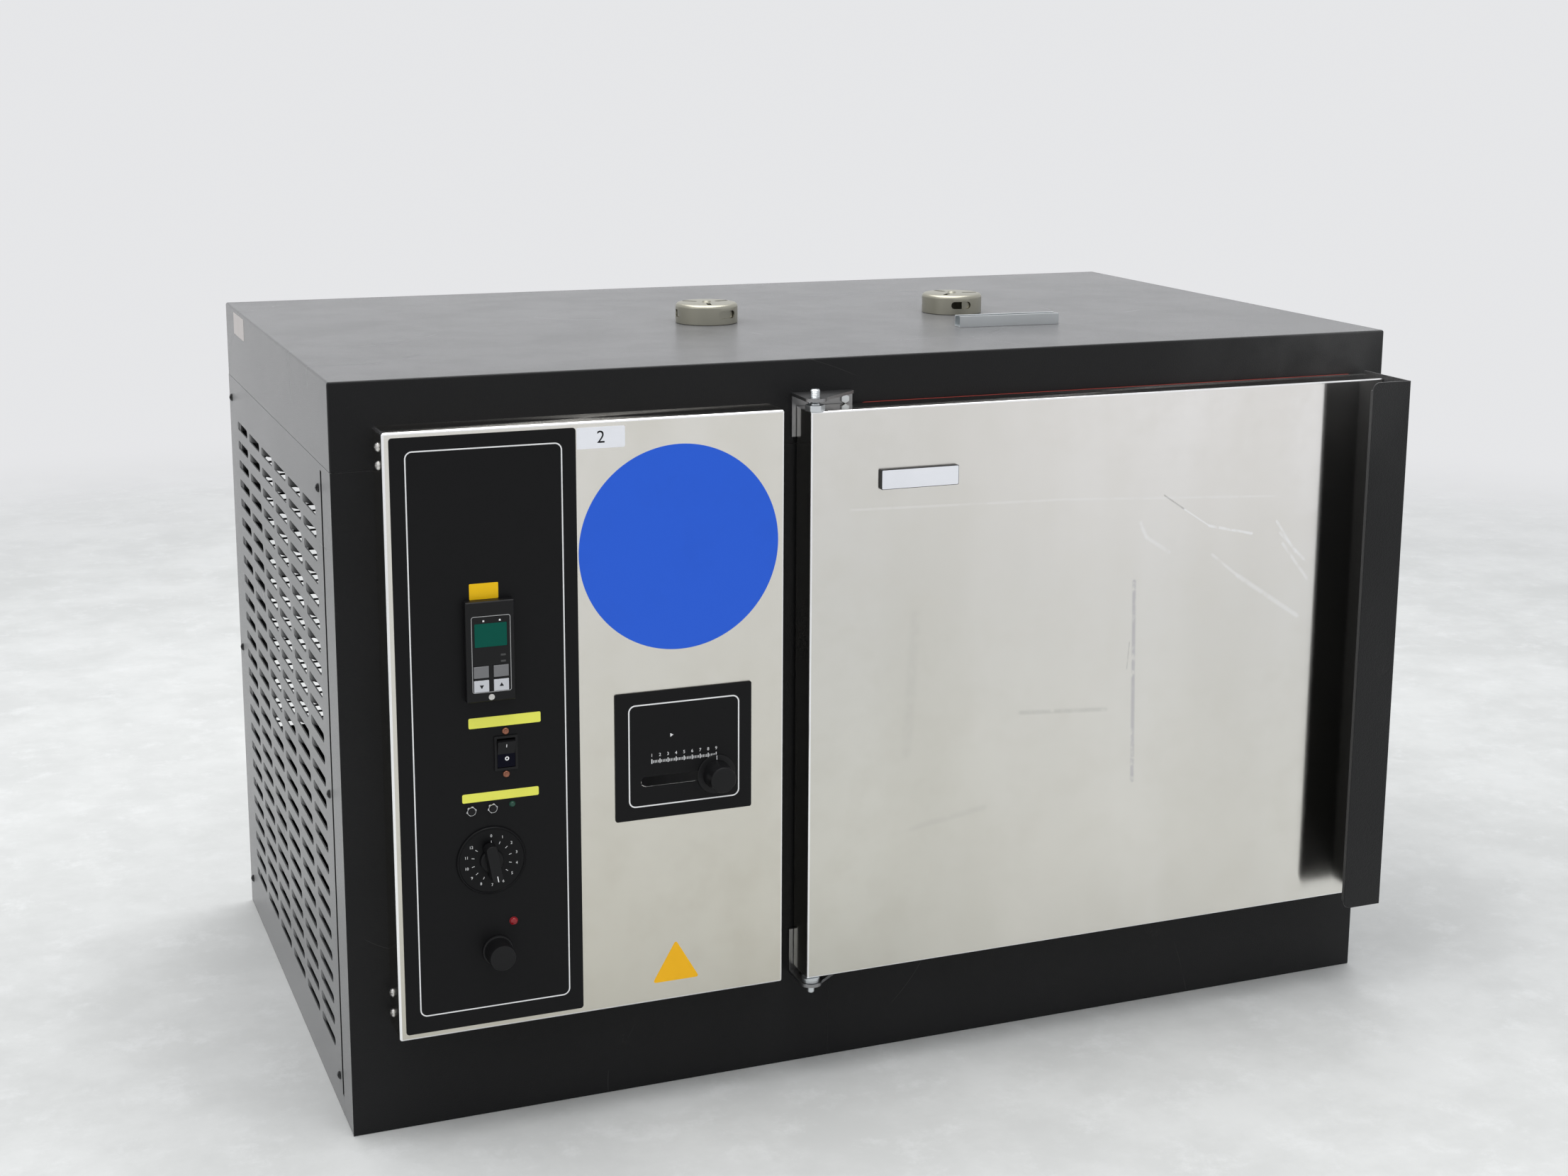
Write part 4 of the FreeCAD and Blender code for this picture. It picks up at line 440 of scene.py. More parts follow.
def aged(material, low, high, marks=()):
    """Paint a reflection into a steel: a tint from low at the bottom left to high at the top right; and add
    marks to it.
    """
    tree = material.node_tree
    socket = tree.nodes["Principled BSDF"].inputs["Base Color"]
    colour = socket.links[0].from_socket
    place = object_place(tree)
    # This tint is a painted reflection: lighter where the steel would mirror the room, darker and warmer
    # where it would mirror the floor.
    tint = blend_colour(tree, use_group(tree, painted_reflection_group, Place=place)["Mask"], low, high)
    colour = blend_colour(tree, 1.0, colour, tint, "MULTIPLY")
    for start, end, width, strength, shade in marks:
        start, end = [at(x, SHEET_FACE, z) for x, z in (start, end)]
        mark = use_group(tree, mark_group, Place=place, Start=start, Reach=end - start, Width=width * MM)
        colour = blend_colour(tree, maths(tree, "MULTIPLY", mark["Mask"], strength), colour, shade)
    tree.links.new(colour, socket)


print("steel recipe ready")

# %% Steels of the oven
BRIGHT, GREY, VIOLET = (1.0, 1.0, 1.0), (0.45, 0.44, 0.42), (0.36, 0.35, 0.42)
DOOR_MARKS = [
    ((806, 484), (812, 270), 3.4, 0.42, VIOLET), ((803, 420), (801, 392), 1.2, 0.4, GREY),
    ((838, 572), (862, 556), 1.3, 0.6, GREY), ((862, 556), (893, 536), 1.3, 0.7, BRIGHT),
    ((893, 536), (945, 524), 2.2, 0.8, BRIGHT), ((811, 545), (818, 530), 3.0, 0.5, BRIGHT),
    ((818, 530), (846, 512), 3.0, 0.4, BRIGHT), ((975, 535), (1000, 500), 2.2, 0.6, BRIGHT),
    ((980, 522), (1012, 490), 2.4, 0.6, BRIGHT), ((984, 510), (1016, 470), 2.6, 0.55, BRIGHT),
    ((898, 505), (930, 480), 2.4, 0.45, BRIGHT), ((930, 480), (1006, 430), 3.6, 0.5, BRIGHT),
    ((679, 358), (778, 351), 3.6, 0.3, GREY), ((489, 582), (720, 576), 2.0, 0.22, BRIGHT),
    ((720, 576), (972, 562), 2.0, 0.22, BRIGHT), ((560, 250), (640, 262), 5.0, 0.15, GREY),
    ((560, 470), (552, 330), 9.0, 0.12, GREY)]
# Both steels carry the painted reflection tint.
steel = brushed_steel("brushed_stainless")
aged(steel, (0.83, 0.815, 0.75), (1.22, 1.22, 1.22))
door_steel = brushed_steel("door_stainless", roughness=0.15)
aged(door_steel, (0.8, 0.795, 0.745), (1.2, 1.2, 1.22), DOOR_MARKS)
# A near-white steel, used as a painted highlight on the rounded folds.
painted_highlight_steel = brushed_steel("fold_painted_highlight", (0.98, 0.98, 0.98), 0.24, 0.0, 900.0, 0.1)
inner_steel = brushed_steel("chamber_stainless", (0.6, 0.58, 0.54), 0.34, 0.5, 900.0)
bright_steel = brushed_steel("screw_steel", (0.66, 0.65, 0.63), 0.28, 0.0, 400.0, 0.4)
zinc = brushed_steel("zinc_plate", (0.68, 0.71, 0.73), 0.3, 0.0, 300.0, 0.6)
# Zinc darkened to about a quarter of the plain zinc's tone, as painted shade on the walls inside the control
# bay.
zinc_painted_shade = brushed_steel("zinc_painted_shade", (0.2, 0.2, 0.205), 0.5, 0.0, 300.0, 1.0)
bracket_steel = brushed_steel("bracket_plate", (0.3, 0.3, 0.305), 0.33, 0.0, 300.0, 0.8)
nickel = brushed_steel("dull_nickel", (0.4, 0.39, 0.33), 0.36, 0.0, 500.0, 1.6)
print("steels ready, door marks:", len(DOOR_MARKS))

# %% [markdown]
# ## Plastics, rubber, wool and small metals
#
# These finishes share one recipe: a base colour that drifts a little, a roughness that drifts with
# it, and a very fine bump. The numbers say whether it is a satin knob, a matte key or soft wool.

# %% A general moulded finish
def moulded(name, colour, roughness, metallic=0.0, specular=0.5, drift=0.12, bump_scale=1400.0,
            bump_strength=0.1):
    """A finish whose colour and roughness drift a little, with a very fine bump."""
    material, tree, shader = new_material(name, colour, roughness, metallic, specular)
    change = use_group(tree, drift_group, Place=object_place(tree), Fineness=bump_scale)
    dim = tuple(part * (1 - drift) for part in colour)
    light = tuple(min(1.0, part * (1 + drift) + 0.001) for part in colour)
    tree.links.new(blend_colour(tree, change["Drift"], dim, light), shader.inputs["Base Color"])
    tree.links.new(ramp(tree, change["Drift"], 0.3, 0.7, roughness - 0.04, roughness + 0.06),
                   shader.inputs["Roughness"])
    raise_surface(tree, shader, change["Fine"], bump_strength, 0.0002)
    return material


overlay_black = moulded("overlay_black", (0.0055, 0.0055, 0.006), 0.45, specular=0.14, bump_strength=0.2)
control_black = moulded("control_black", (0.006, 0.006, 0.0065), 0.4, specular=0.22)
dial_black = moulded("dial_black", (0.004, 0.004, 0.0045), 0.35, specular=0.15)
rocker_gloss = moulded("rocker_black", (0.006, 0.006, 0.007), 0.4, specular=0.22)
rocker_navy = moulded("rocker_navy", (0.001, 0.0012, 0.007), 0.35, specular=0.08, bump_strength=0.02)
key_grey = moulded("key_grey", (0.19, 0.19, 0.195), 0.5, specular=0.3)
key_white = moulded("key_white", (0.62, 0.63, 0.66), 0.45, specular=0.3, drift=0.05)
mark_grey = moulded("mark_grey", (0.05, 0.05, 0.05), 0.5)
print_white = moulded("print_white", (0.86, 0.86, 0.86), 0.5, specular=0.2, drift=0.06)
print_grey = moulded("print_grey", (0.42, 0.42, 0.42), 0.5, specular=0.2)
ink_black = moulded("ink_black", (0.006, 0.006, 0.008), 0.5, specular=0.2)
window_green = moulded("window_green", (0.001, 0.088, 0.062), 0.35, specular=0.1, drift=0.06,
                       bump_strength=0.03)
copper = moulded("copper", (0.3, 0.13, 0.085), 0.36, metallic=1.0)
chrome = moulded("chrome", (0.72, 0.72, 0.73), 0.14, metallic=1.0, drift=0.03, bump_strength=0.02)
lens_green = moulded("lens_green", (0.002, 0.05, 0.03), 0.14, drift=0.05, bump_strength=0.0)
lens_red = moulded("lens_red", (0.28, 0.006, 0.012), 0.14, drift=0.05, bump_strength=0.0)
red_rubber = moulded("red_silicone", (0.3, 0.03, 0.02), 0.5)
wool = moulded("mineral_wool", (0.6, 0.55, 0.38), 0.95, specular=0.1, drift=0.3, bump_scale=400.0,
               bump_strength=0.9)
motor_paint = moulded("motor_paint", (0.05, 0.055, 0.06), 0.5)
sheath = moulded("heater_sheath", (0.12, 0.11, 0.1), 0.5, metallic=1.0)
print("moulded finishes ready")

# %% [markdown]
# ## Sticker film
#
# The stickers are printed vinyl and paper: an even colour with faint dirt, a soft gloss, and a
# slight ripple where the film didn't lie quite flat.

# %% Sticker materials
def sticker_film(name, colour, roughness=0.4, dirt=0.25, ripple=0.15):
    """Vinyl or paper film; dirt and ripple are the strengths of its stains and its waves."""
    material, tree, shader = new_material(name, colour, roughness, specular=0.25)
    vinyl = use_group(tree, vinyl_group, Place=object_place(tree))
    stained = tuple(0.72 * part for part in colour)
    tree.links.new(blend_colour(tree, ramp(tree, vinyl["Dirt"], 0.45, 0.75, 0.0, dirt), colour, stained),
                   shader.inputs["Base Color"])
    raise_surface(tree, shader, vinyl["Waves"], ripple, 0.0006)
    return material


label_white = sticker_film("label_white", (0.93, 0.94, 0.98), 0.45, 0.15)
label_paper = sticker_film("label_paper", (0.62, 0.58, 0.56), 0.6, 0.5)
label_yellow = sticker_film("label_yellow", (0.9, 0.9, 0.13), 0.4)
label_amber = sticker_film("label_amber", (1.0, 0.6, 0.004), 0.38, 0.15)
label_triangle = sticker_film("label_triangle", (1.0, 0.52, 0.01), 0.42)
label_blue = sticker_film("label_blue", (0.021, 0.122, 0.74), 0.38, 0.15, 0.2)
print("sticker films ready")

# %% A finish for each CAD node
finishes = {
    "black_coat": black_coat, "stainless": steel, "galvanised": zinc, "overlay_black": overlay_black,
    "control_black": control_black, "key_grey": key_grey, "key_white": key_white, "display": control_black,
    "copper": copper, "chrome": chrome, "lamp": red_rubber, "gasket_red": red_rubber, "wool": wool,
    "nickel": nickel, "motor": motor_paint, "gland_black": control_black, "heater_sheath": sheath,
}
for row in frame["record"]["subparts"]:
    piece = nodes[row["node"]]
    piece.data.materials.clear()
    piece.data.materials.append(finishes[row["material_slot"]])
INSIDE = ("chamber_liner", "left_duct_wall", "right_duct_wall", "shelf_supports", "upper_shelf",
          "lower_shelf", "door_liner", "blower_scroll", "blower_wheel")
# The bay wall and frame posts take the darkened zinc, a painted shade inside the bay.
for names, material in ((INSIDE, inner_steel), (("bay_wall", "frame_posts"), zinc_painted_shade)):
    for name in names:
        nodes[name].data.materials[0] = material

# %% [markdown]
# ## Small tools for modelling
#
# Every new piece starts from a Blender primitive and is shaped in edit mode, as a modeller does at
# the screen. The tools below keep those steps short. `begin` leaves nothing selected, `settle` puts
# a finished piece's place into its mesh, and `edit` with `pick` selects faces, edges or points by
# where they are.

# %% Tools for editing
FRONTWARD, UPWARD = Vector((0, -1, 0)), Vector((0, 0, 1))
SMOOTH_ANGLE = math.radians(35)


def begin():
    """Object mode, with nothing selected."""
    if bpy.context.object and bpy.context.object.mode != "OBJECT":
        bpy.ops.object.mode_set(mode="OBJECT")
    bpy.ops.object.select_all(action="DESELECT")


def choose(piece):
    """Make one piece the active and only selected object."""
    begin()
    piece.select_set(True)
    bpy.context.view_layer.objects.active = piece


def settle(name):
    """Name the active object and put its place, turn and size into its mesh."""
    piece = bpy.context.object
    piece.name = name
    piece.data.name = name
    bpy.ops.object.transform_apply(location=True, rotation=True, scale=True)
    return piece


def edit(piece, kind):
    """Edit a piece by its points, edges or faces, with nothing selected."""
    choose(piece)
    bpy.ops.object.mode_set(mode="EDIT")
    bpy.ops.mesh.select_mode(type=kind)
    bpy.ops.mesh.select_all(action="DESELECT")


def pick(piece, kind, test):
    """Select, in edit mode, the points, edges or faces that pass a test."""
    mesh = bmesh.from_edit_mesh(piece.data)
    for element in getattr(mesh, {"VERT": "verts", "EDGE": "edges", "FACE": "faces"}[kind]):
        element.select_set(test(element))
    mesh.select_flush_mode()
    bmesh.update_edit_mesh(piece.data)


def done():
    """Back to object mode."""
    bpy.ops.object.mode_set(mode="OBJECT")


print("editing tools ready")


# %% Tools for modifiers and for finishing a piece
def apply_modifier(piece, kind, **values):
    """Add a modifier with these values and apply it."""
    choose(piece)
    modifier = piece.modifiers.new(kind.lower(), kind)
    for name, value in values.items():
        setattr(modifier, name, value)
    bpy.ops.object.modifier_apply(modifier=modifier.name)


def cut(piece, *cutters):
    """Cut the shape of each cutter out of a piece, then delete the cutters."""
    for cutter in cutters:
        apply_modifier(piece, "BOOLEAN", operation="DIFFERENCE", solver="EXACT", object=cutter)
        bpy.data.objects.remove(cutter)


def join(name, pieces):
    """Join pieces into one object."""
    choose(pieces[0])
    for piece in pieces:
        piece.select_set(True)
    bpy.ops.object.join()
    return settle(name)


def soften(piece, width, segments=2, angle=30):
    """Round a piece's sharp edges; width is in millimetres."""
    apply_modifier(piece, "BEVEL", width=width * MM, segments=segments, limit_method="ANGLE",
                   angle_limit=math.radians(angle), use_clamp_overlap=True)


def finish(piece, material, body, replaced=()):
    """Shade a piece, give it its material, and tie it to its body and what it replaces."""
    choose(piece)
    bpy.ops.object.shade_smooth_by_angle(angle=SMOOTH_ANGLE)
    apply_modifier(piece, "WEIGHTED_NORMAL", keep_sharp=True)
    piece.data.materials.clear()
    piece.data.materials.append(material)
    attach(piece, body)
    for node in replaced:
        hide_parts(node)
    return piece


print("finishing tools ready")


# %% Boxes and lathe shapes
def bar(name, x, y, z):
    """A box between two corners, in millimetres of the oven."""
    begin()
    low, high = at(x[0], y[0], z[0]), at(x[1], y[1], z[1])
    bpy.ops.mesh.primitive_cube_add(size=1, location=(low + high) / 2, scale=high - low)
    return settle(name)


def rounded(name, x, y, z, radius, along=1, segments=6):
    """A box whose four edges along one axis are rounded; along is 0, 1 or 2 for X, Y or Z."""
    piece = bar(name, x, y, z)
    edit(piece, "EDGE")

    def runs_along(edge):
        line = (edge.verts[0].co - edge.verts[1].co).normalized()
        return abs(line[along]) > 0.99

    pick(piece, "EDGE", runs_along)
    bpy.ops.mesh.bevel(offset=radius * MM, segments=segments)
    done()
    return piece


def turned(name, profile, place, direction, sides=48):
    """A lathe shape: (radius, height) points in millimetres, spun about an axis through a place.

    With no place it stays at the frame's origin, ready to be copied."""
    begin()
    bpy.ops.mesh.primitive_plane_add(size=0.01)
    piece = bpy.context.object
    bpy.ops.object.mode_set(mode="EDIT")
    bpy.ops.mesh.select_mode(type="VERT")
    bpy.ops.mesh.select_all(action="SELECT")
    bpy.ops.mesh.merge(type="CENTER")
    here = Vector((profile[0][0] * MM, 0, profile[0][1] * MM))
    bpy.ops.transform.translate(value=here)
    for radius, height in profile[1:]:
        there = Vector((radius * MM, 0, height * MM))
        bpy.ops.mesh.extrude_region_move(TRANSFORM_OT_translate={"value": there - here})
        here = there
    bpy.ops.mesh.select_all(action="SELECT")
    bpy.ops.mesh.spin(steps=sides, angle=math.tau, center=(0, 0, 0), axis=(0, 0, 1))
    bpy.ops.mesh.select_all(action="SELECT")
    bpy.ops.mesh.remove_doubles(threshold=1e-6)
    bpy.ops.mesh.normals_make_consistent(inside=False)
    done()
    piece.rotation_euler = Vector(direction).to_track_quat("Z", "Y").to_euler()
    piece.location = at(*place) if place else (0, 0, 0)
    return settle(name)


print("shape tools ready")


# %% Pieces made from CAD nodes
def clean_copy(node):
    """A copy of a CAD node, with its triangles joined into faces."""
    piece = bpy.data.objects.new(node + "_soft", nodes[node].data.copy())
    bpy.context.scene.collection.objects.link(piece)
    edit(piece, "VERT")
    bpy.ops.mesh.select_all(action="SELECT")
    bpy.ops.mesh.remove_doubles(threshold=1e-6)
    bpy.ops.mesh.dissolve_limited(angle_limit=math.radians(1))
    done()
    if piece.data.has_custom_normals:
        bpy.ops.mesh.customdata_custom_splitnormals_clear()
    return piece


def soften_node(node, width, material, segments=2, angle=30):
    """Show a CAD node through a copy with rounded edges."""
    piece = clean_copy(node)
    soften(piece, width, segments, angle)
    body = body_of(nodes[node])
    return finish(piece, material, body if isinstance(body, str) else body[0], (node,))


# %% [markdown]
# ## The slotted side panel
#
# The side of the control bay is the piece that takes the most care. It is one sheet with 150 round-
# ended slots in a grid of six columns. The punch leaves a short tongue at each slot's rear end that
# bends inwards and scoops the air, so the coat fades from grey to black there. One cutter is
# modelled, repeated along the panel and up it, and cut out of the sheet, and the cut edges are
# rounded. One tongue is extruded step by step along its curve and repeated in the same way.

# %% Slotted side panel
SLOT_LENGTH, SLOT_HEIGHT = 71.0, 9.2
SLOT_FIRST_Y, SLOT_FIRST_Z = 118.0, 60.0
SLOT_PITCH_Y, SLOT_PITCH_Z = 86.0, 22.17
SLOT_COLUMNS, SLOT_ROWS = 6, 25
PANEL_SHEET, CUT_ROUND = 1.5, 0.4
TAB, PAN_RISE = 6.0, 20.0
panel_low, panel_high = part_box("left_side_panel")
panel_y = ((panel_low.y - FRONT) / MM, (panel_high.y - FRONT) / MM)
panel_z = (panel_low.z / MM, panel_high.z / MM)

side_panel = bar("slotted_panel", (0, PANEL_SHEET), panel_y, panel_z)
gap = bar("panel_gap", (-1, PANEL_SHEET + 1), (panel_y[0] - 1, panel_y[0] + TAB + 0.6),
          (PAN_RISE, panel_z[1] - TAB))
slot_cutter = rounded("slot_cutter", (-1, PANEL_SHEET + 1),
                      (SLOT_FIRST_Y - SLOT_LENGTH / 2, SLOT_FIRST_Y + SLOT_LENGTH / 2),
                      (SLOT_FIRST_Z - SLOT_HEIGHT / 2, SLOT_FIRST_Z + SLOT_HEIGHT / 2),
                      0.499 * SLOT_HEIGHT, along=0, segments=8)
print("slots:", SLOT_COLUMNS * SLOT_ROWS)

# %% Tongues behind the slots
TONGUE_LENGTH, TONGUE_DEPTH, TONGUE_STEPS, TONGUE_CURVE = 18.0, 7.5, 6, 1.7
TONGUE_HALF_HEIGHT = 4.55
slot_end = SLOT_FIRST_Y + SLOT_LENGTH / 2
tongue = bar("tongue", (0.15, 1.25), (slot_end - 0.5, slot_end),
             (SLOT_FIRST_Z - TONGUE_HALF_HEIGHT, SLOT_FIRST_Z + TONGUE_HALF_HEIGHT))
edit(tongue, "FACE")
pick(tongue, "FACE", lambda face: face.normal.y < -0.9)
bends = [TONGUE_DEPTH * (step / TONGUE_STEPS) ** TONGUE_CURVE for step in range(TONGUE_STEPS + 1)]
for here, there in zip(bends, bends[1:]):
    bpy.ops.mesh.extrude_region_move(
        TRANSFORM_OT_translate={"value": ((there - here) * MM, -TONGUE_LENGTH / TONGUE_STEPS * MM, 0)})
done()


def repeat(piece, *rows):
    """Repeat a piece in rows, each a count and a step in millimetres."""
    for count, step in rows:
        apply_modifier(piece, "ARRAY", count=count, use_relative_offset=False, use_constant_offset=True,
                       constant_offset_displace=Vector(step) * MM)


for piece in (slot_cutter, tongue):
    repeat(piece, (SLOT_COLUMNS, (0, SLOT_PITCH_Y, 0)), (SLOT_ROWS, (0, 0, SLOT_PITCH_Z)))
cut(side_panel, gap, slot_cutter)
soften(side_panel, CUT_ROUND)
side_panel = join("slotted_panel", [side_panel, tongue])
finish(side_panel, black_coat, "oven", ("left_side_panel",))
print("side panel faces:", len(side_panel.data.polygons))

# %% [markdown]
# ## Rear panel and the cover's edges
#
# Through the side slots one sees the rear panel's own slots against the bright room. Only thin webs
# are left between those, so they are cut taller here. The top cover's edges are folded, not sharp,
# and get a small round that catches the light.

# %% Rear panel and top cover
rear_panel = clean_copy("rear_panel")
REAR_SLOT_HALF, REAR_FIRST_Z, REAR_PITCH, REAR_SLOTS = 2.75, 217.0, 7.7, 43
rear_cutter = rounded("rear_cutter", (37.0, 108.0), (CASE_Y - 4, CASE_Y + 3),
                      (REAR_FIRST_Z - REAR_SLOT_HALF, REAR_FIRST_Z + REAR_SLOT_HALF), REAR_SLOT_HALF - 0.01,
                      segments=4)
repeat(rear_cutter, (REAR_SLOTS, (0, 0, REAR_PITCH)))
cut(rear_panel, rear_cutter)
soften(rear_panel, 0.3, segments=1)
finish(rear_panel, black_coat, "oven", ("rear_panel",))
soften_node("top_cover", 0.8, black_coat, segments=3)
print("rear panel faces:", len(rear_panel.data.polygons))

# %% [markdown]
# ## Screws
#
# Pan-head screws hold the side and rear panels. One head is turned, its cross recess is cut, and it
# is copied to each place with its own mesh. The smaller ones in the sides of the control module are
# plain steel.

# %% Copies with their own meshes
def copies(piece, places, turns=None):
    """Copies of a piece with their own meshes, moved and turned; the piece itself is deleted."""
    made_copies = []
    for index, place in enumerate(places):
        copy = bpy.data.objects.new(f"{piece.name}_{index}", piece.data.copy())
        bpy.context.scene.collection.objects.link(copy)
        if turns:
            copy.rotation_euler = turns[index]
        copy.location = place
        choose(copy)
        made_copies.append(settle(copy.name))
    bpy.data.objects.remove(piece)
    return made_copies


print("copying tool ready")


# %% Screw heads
def screw_head(name):
    """A pan head of 8.8 mm with a cross recess, facing up at the frame's origin."""
    head = turned(name, [(0, 2.15), (1.6, 2.1), (3.0, 1.75), (3.9, 1.1), (4.4, 0.25), (4.4, 0), (0, 0)],
                  None, UPWARD, sides=20)
    for turn in (0, 90):
        begin()
        bpy.ops.mesh.primitive_cube_add(size=1, location=(0, 0, 2.2 * MM), scale=Vector((4.6, 0.9, 2.4)) * MM,
                                        rotation=(0, 0, math.radians(turn)))
        cut(head, settle("recess"))
    return head


SCREW_Z = (35.0, 322.0, 618.0)
REAR_SCREW_X = (18.5, CASE_X - 18.5)
face_left, face_right, face_rear = (0, -math.pi / 2, 0.5), (0, math.pi / 2, -0.4), (-math.pi / 2, 0, 0)
places, turns = [], []
for z in SCREW_Z:
    for y in (62.0, CASE_Y - 21.0):
        places += [at(0, y, z), at(CASE_X, y, z)]
        turns += [face_left, face_right]
    for x in REAR_SCREW_X:
        places.append(at(x, CASE_Y, z))
        turns.append(face_rear)
heads = copies(screw_head("panel_screw"), places, turns)
finish(join("panel_screw_heads", heads), black_coat, "oven", ("panel_screws",))
print("panel screw heads:", len(places))

# %% Screws of the control module
MODULE_X = (39.0, 421.0)
MODULE_SCREWS = ((-12.6, 125.2), (-12.6, 145.6), (-23.6, 668.3), (-23.6, 651.6))
places = [at(x, y, z) for x in MODULE_X for y, z in MODULE_SCREWS]
turns = [face_left] * 4 + [face_right] * 4
heads = copies(screw_head("module_screw"), places, turns)
finish(join("module_screw_heads", heads), bright_steel, "oven", ("cover_screws",))
print("module screw heads:", len(places))

# %% [markdown]
# ## The control module's printed front
#
# The module's cover is folded from steel, and its rounded folds are painted near-white as a
# highlight line. A thin white line frames the black front sheet. Everything printed is a slab a few
# hundredths of a millimetre thick that lies on the sheet.

# %% Painted highlights on the folds
def bright_folds(piece):
    """Paint a highlight on the rounded folds of a sheet, as a second, near-white steel."""
    piece.data.materials.append(painted_highlight_steel)
    for polygon in piece.data.polygons:
        if max(abs(part) for part in polygon.normal) < 0.995:
            polygon.material_index = 1


print("fold tool ready")

# %% Tools for print
PRINT_RISE = 0.06


def stroke(name, centre, turn, inner, outer, width, face, rise=PRINT_RISE):
    """A thin printed line that points away from a centre; turn is clockwise from the top."""
    begin()
    angle = math.radians(turn)
    middle = (inner + outer) / 2
    place = at(centre[0] + middle * math.sin(angle), face - rise / 2, centre[1] + middle * math.cos(angle))
    bpy.ops.mesh.primitive_cube_add(size=1, location=place, rotation=(0, angle, 0),
                                    scale=(width * MM, rise * MM, (outer - inner) * MM))
    return settle(name)


def outline(name, x, z, radius, width, face, rise=PRINT_RISE):
    """A thin line round a rounded rectangle on the front."""
    begin()
    low, high = at(x[0], face - rise, z[0]), at(x[1], face - rise, z[1])
    bpy.ops.mesh.primitive_plane_add(size=1, location=(low + high) / 2, rotation=(math.pi / 2, 0, 0))
    bpy.context.object.scale = (high.x - low.x, high.z - low.z, 1)
    piece = settle(name)
    edit(piece, "VERT")
    bpy.ops.mesh.select_all(action="SELECT")
    bpy.ops.mesh.bevel(offset=radius * MM, segments=8, affect="VERTICES")
    bpy.ops.mesh.select_mode(type="FACE")
    bpy.ops.mesh.select_all(action="SELECT")
    bpy.ops.mesh.inset(thickness=width * MM, use_even_offset=True)
    bpy.ops.mesh.delete(type="FACE")
    done()
    apply_modifier(piece, "SOLIDIFY", thickness=rise * MM, offset=-1)
    return piece


def wedge(name, centre, size, turn, face, rise=PRINT_RISE, rounding=0.0):
    """A flat triangle on the front; turn is clockwise from pointing up."""
    begin()
    bpy.ops.mesh.primitive_cylinder_add(vertices=3, radius=size * MM, depth=rise * MM,
                                        rotation=(math.pi / 2, 0, 0))
    piece = settle(name)
    if rounding:
        edit(piece, "EDGE")
        pick(piece, "EDGE", lambda edge: abs((edge.verts[0].co - edge.verts[1].co).normalized().y) > 0.99)
        bpy.ops.mesh.bevel(offset=rounding * MM, segments=6)
        done()
    points_up = max(point.co.z for point in piece.data.vertices) > 1.5 * abs(
        min(point.co.z for point in piece.data.vertices))
    piece.rotation_euler = (0, math.radians(turn + (0 if points_up else 180)), 0)
    piece.location = at(centre[0], face - rise / 2, centre[1])
    return settle(name)


def numeral(name, words, centre, height, face, rise=PRINT_RISE):
    """A printed number on the front."""
    begin()
    bpy.ops.object.text_add(location=at(centre[0], face - rise / 2, centre[1]),
                            rotation=(math.pi / 2, 0, 0))
    text = bpy.context.object.data
    text.body = words
    text.size = height * MM / 0.7
    text.extrude = rise * MM / 2
    text.align_x = "CENTER"
    text.align_y = "CENTER"
    text.resolution_u = 3
    bpy.ops.object.convert(target="MESH")
    return settle(name)


print("print stands", PRINT_RISE, "mm above its sheet")

# %% Front sheet's frame line
OVERLAY, COVER = front_of("control_overlay"), front_of("control_cover")
bright_folds(soften_node("control_cover", 1.1, steel, segments=3))
frame_line = outline("front_frame_line", (58.5, 203), (129.5, 666), 7, 1.2, OVERLAY)
finish(frame_line, print_white, "oven")
soften_node("control_overlay", 0.15, overlay_black)
print("front sheet at", round(OVERLAY, 2), "cover at", round(COVER, 2))

# %% [markdown]
# ## Temperature controller
#
# The controller is a tall black bezel with a rounded rim. A light line frames its window and its
# four keys; a slotted screw sits below them. The keys are caps with a slight crown.

# %% Controller bezel and window
BEZEL = OVERLAY - 9
soften_node("controller_case", 0.7, control_black, segments=3, angle=25)
window = rounded("controller_window", (116, 146), (BEZEL - 0.02, BEZEL + 0.55), (483, 505), 0.8)
soften(window, 0.12)
finish(window, window_green, "oven", ("controller_display",))
frame_line = outline("controller_frame_line", (113, 149.5), (440, 512), 2.2, 0.55, BEZEL)
finish(frame_line, print_grey, "oven")
specks = [bar(f"speck_{index}", (x - 0.8, x + 0.8), (BEZEL - PRINT_RISE, BEZEL), (506.6, 508.2))
          for index, x in enumerate((124.4, 139.6))]
finish(join("window_specks", specks), print_white, "oven")
marks = [rounded(f"mark_{index}", (139.9, 144.5), (BEZEL - PRINT_RISE, BEZEL), (z - 0.9, z + 0.9), 0.3)
         for index, z in enumerate((474.5, 468.6))]
finish(join("output_marks", marks), mark_grey, "oven")
CASE_SCREW = (130.6, 435.4)
screw = turned("controller_screw", [(0, 0.9), (2.2, 0.85), (2.8, 0.5), (3.0, 0), (0, 0)],
               (CASE_SCREW[0], BEZEL, CASE_SCREW[1]), FRONTWARD, sides=28)
begin()
bpy.ops.mesh.primitive_cube_add(size=1, location=at(CASE_SCREW[0], BEZEL - 0.9, CASE_SCREW[1]),
                                rotation=(0, math.radians(40), 0), scale=(7 * MM, 0.9 * MM, 0.8 * MM))
cut(screw, settle("groove"))
finish(screw, bright_steel, "oven")
print("controller at", round(BEZEL, 2))

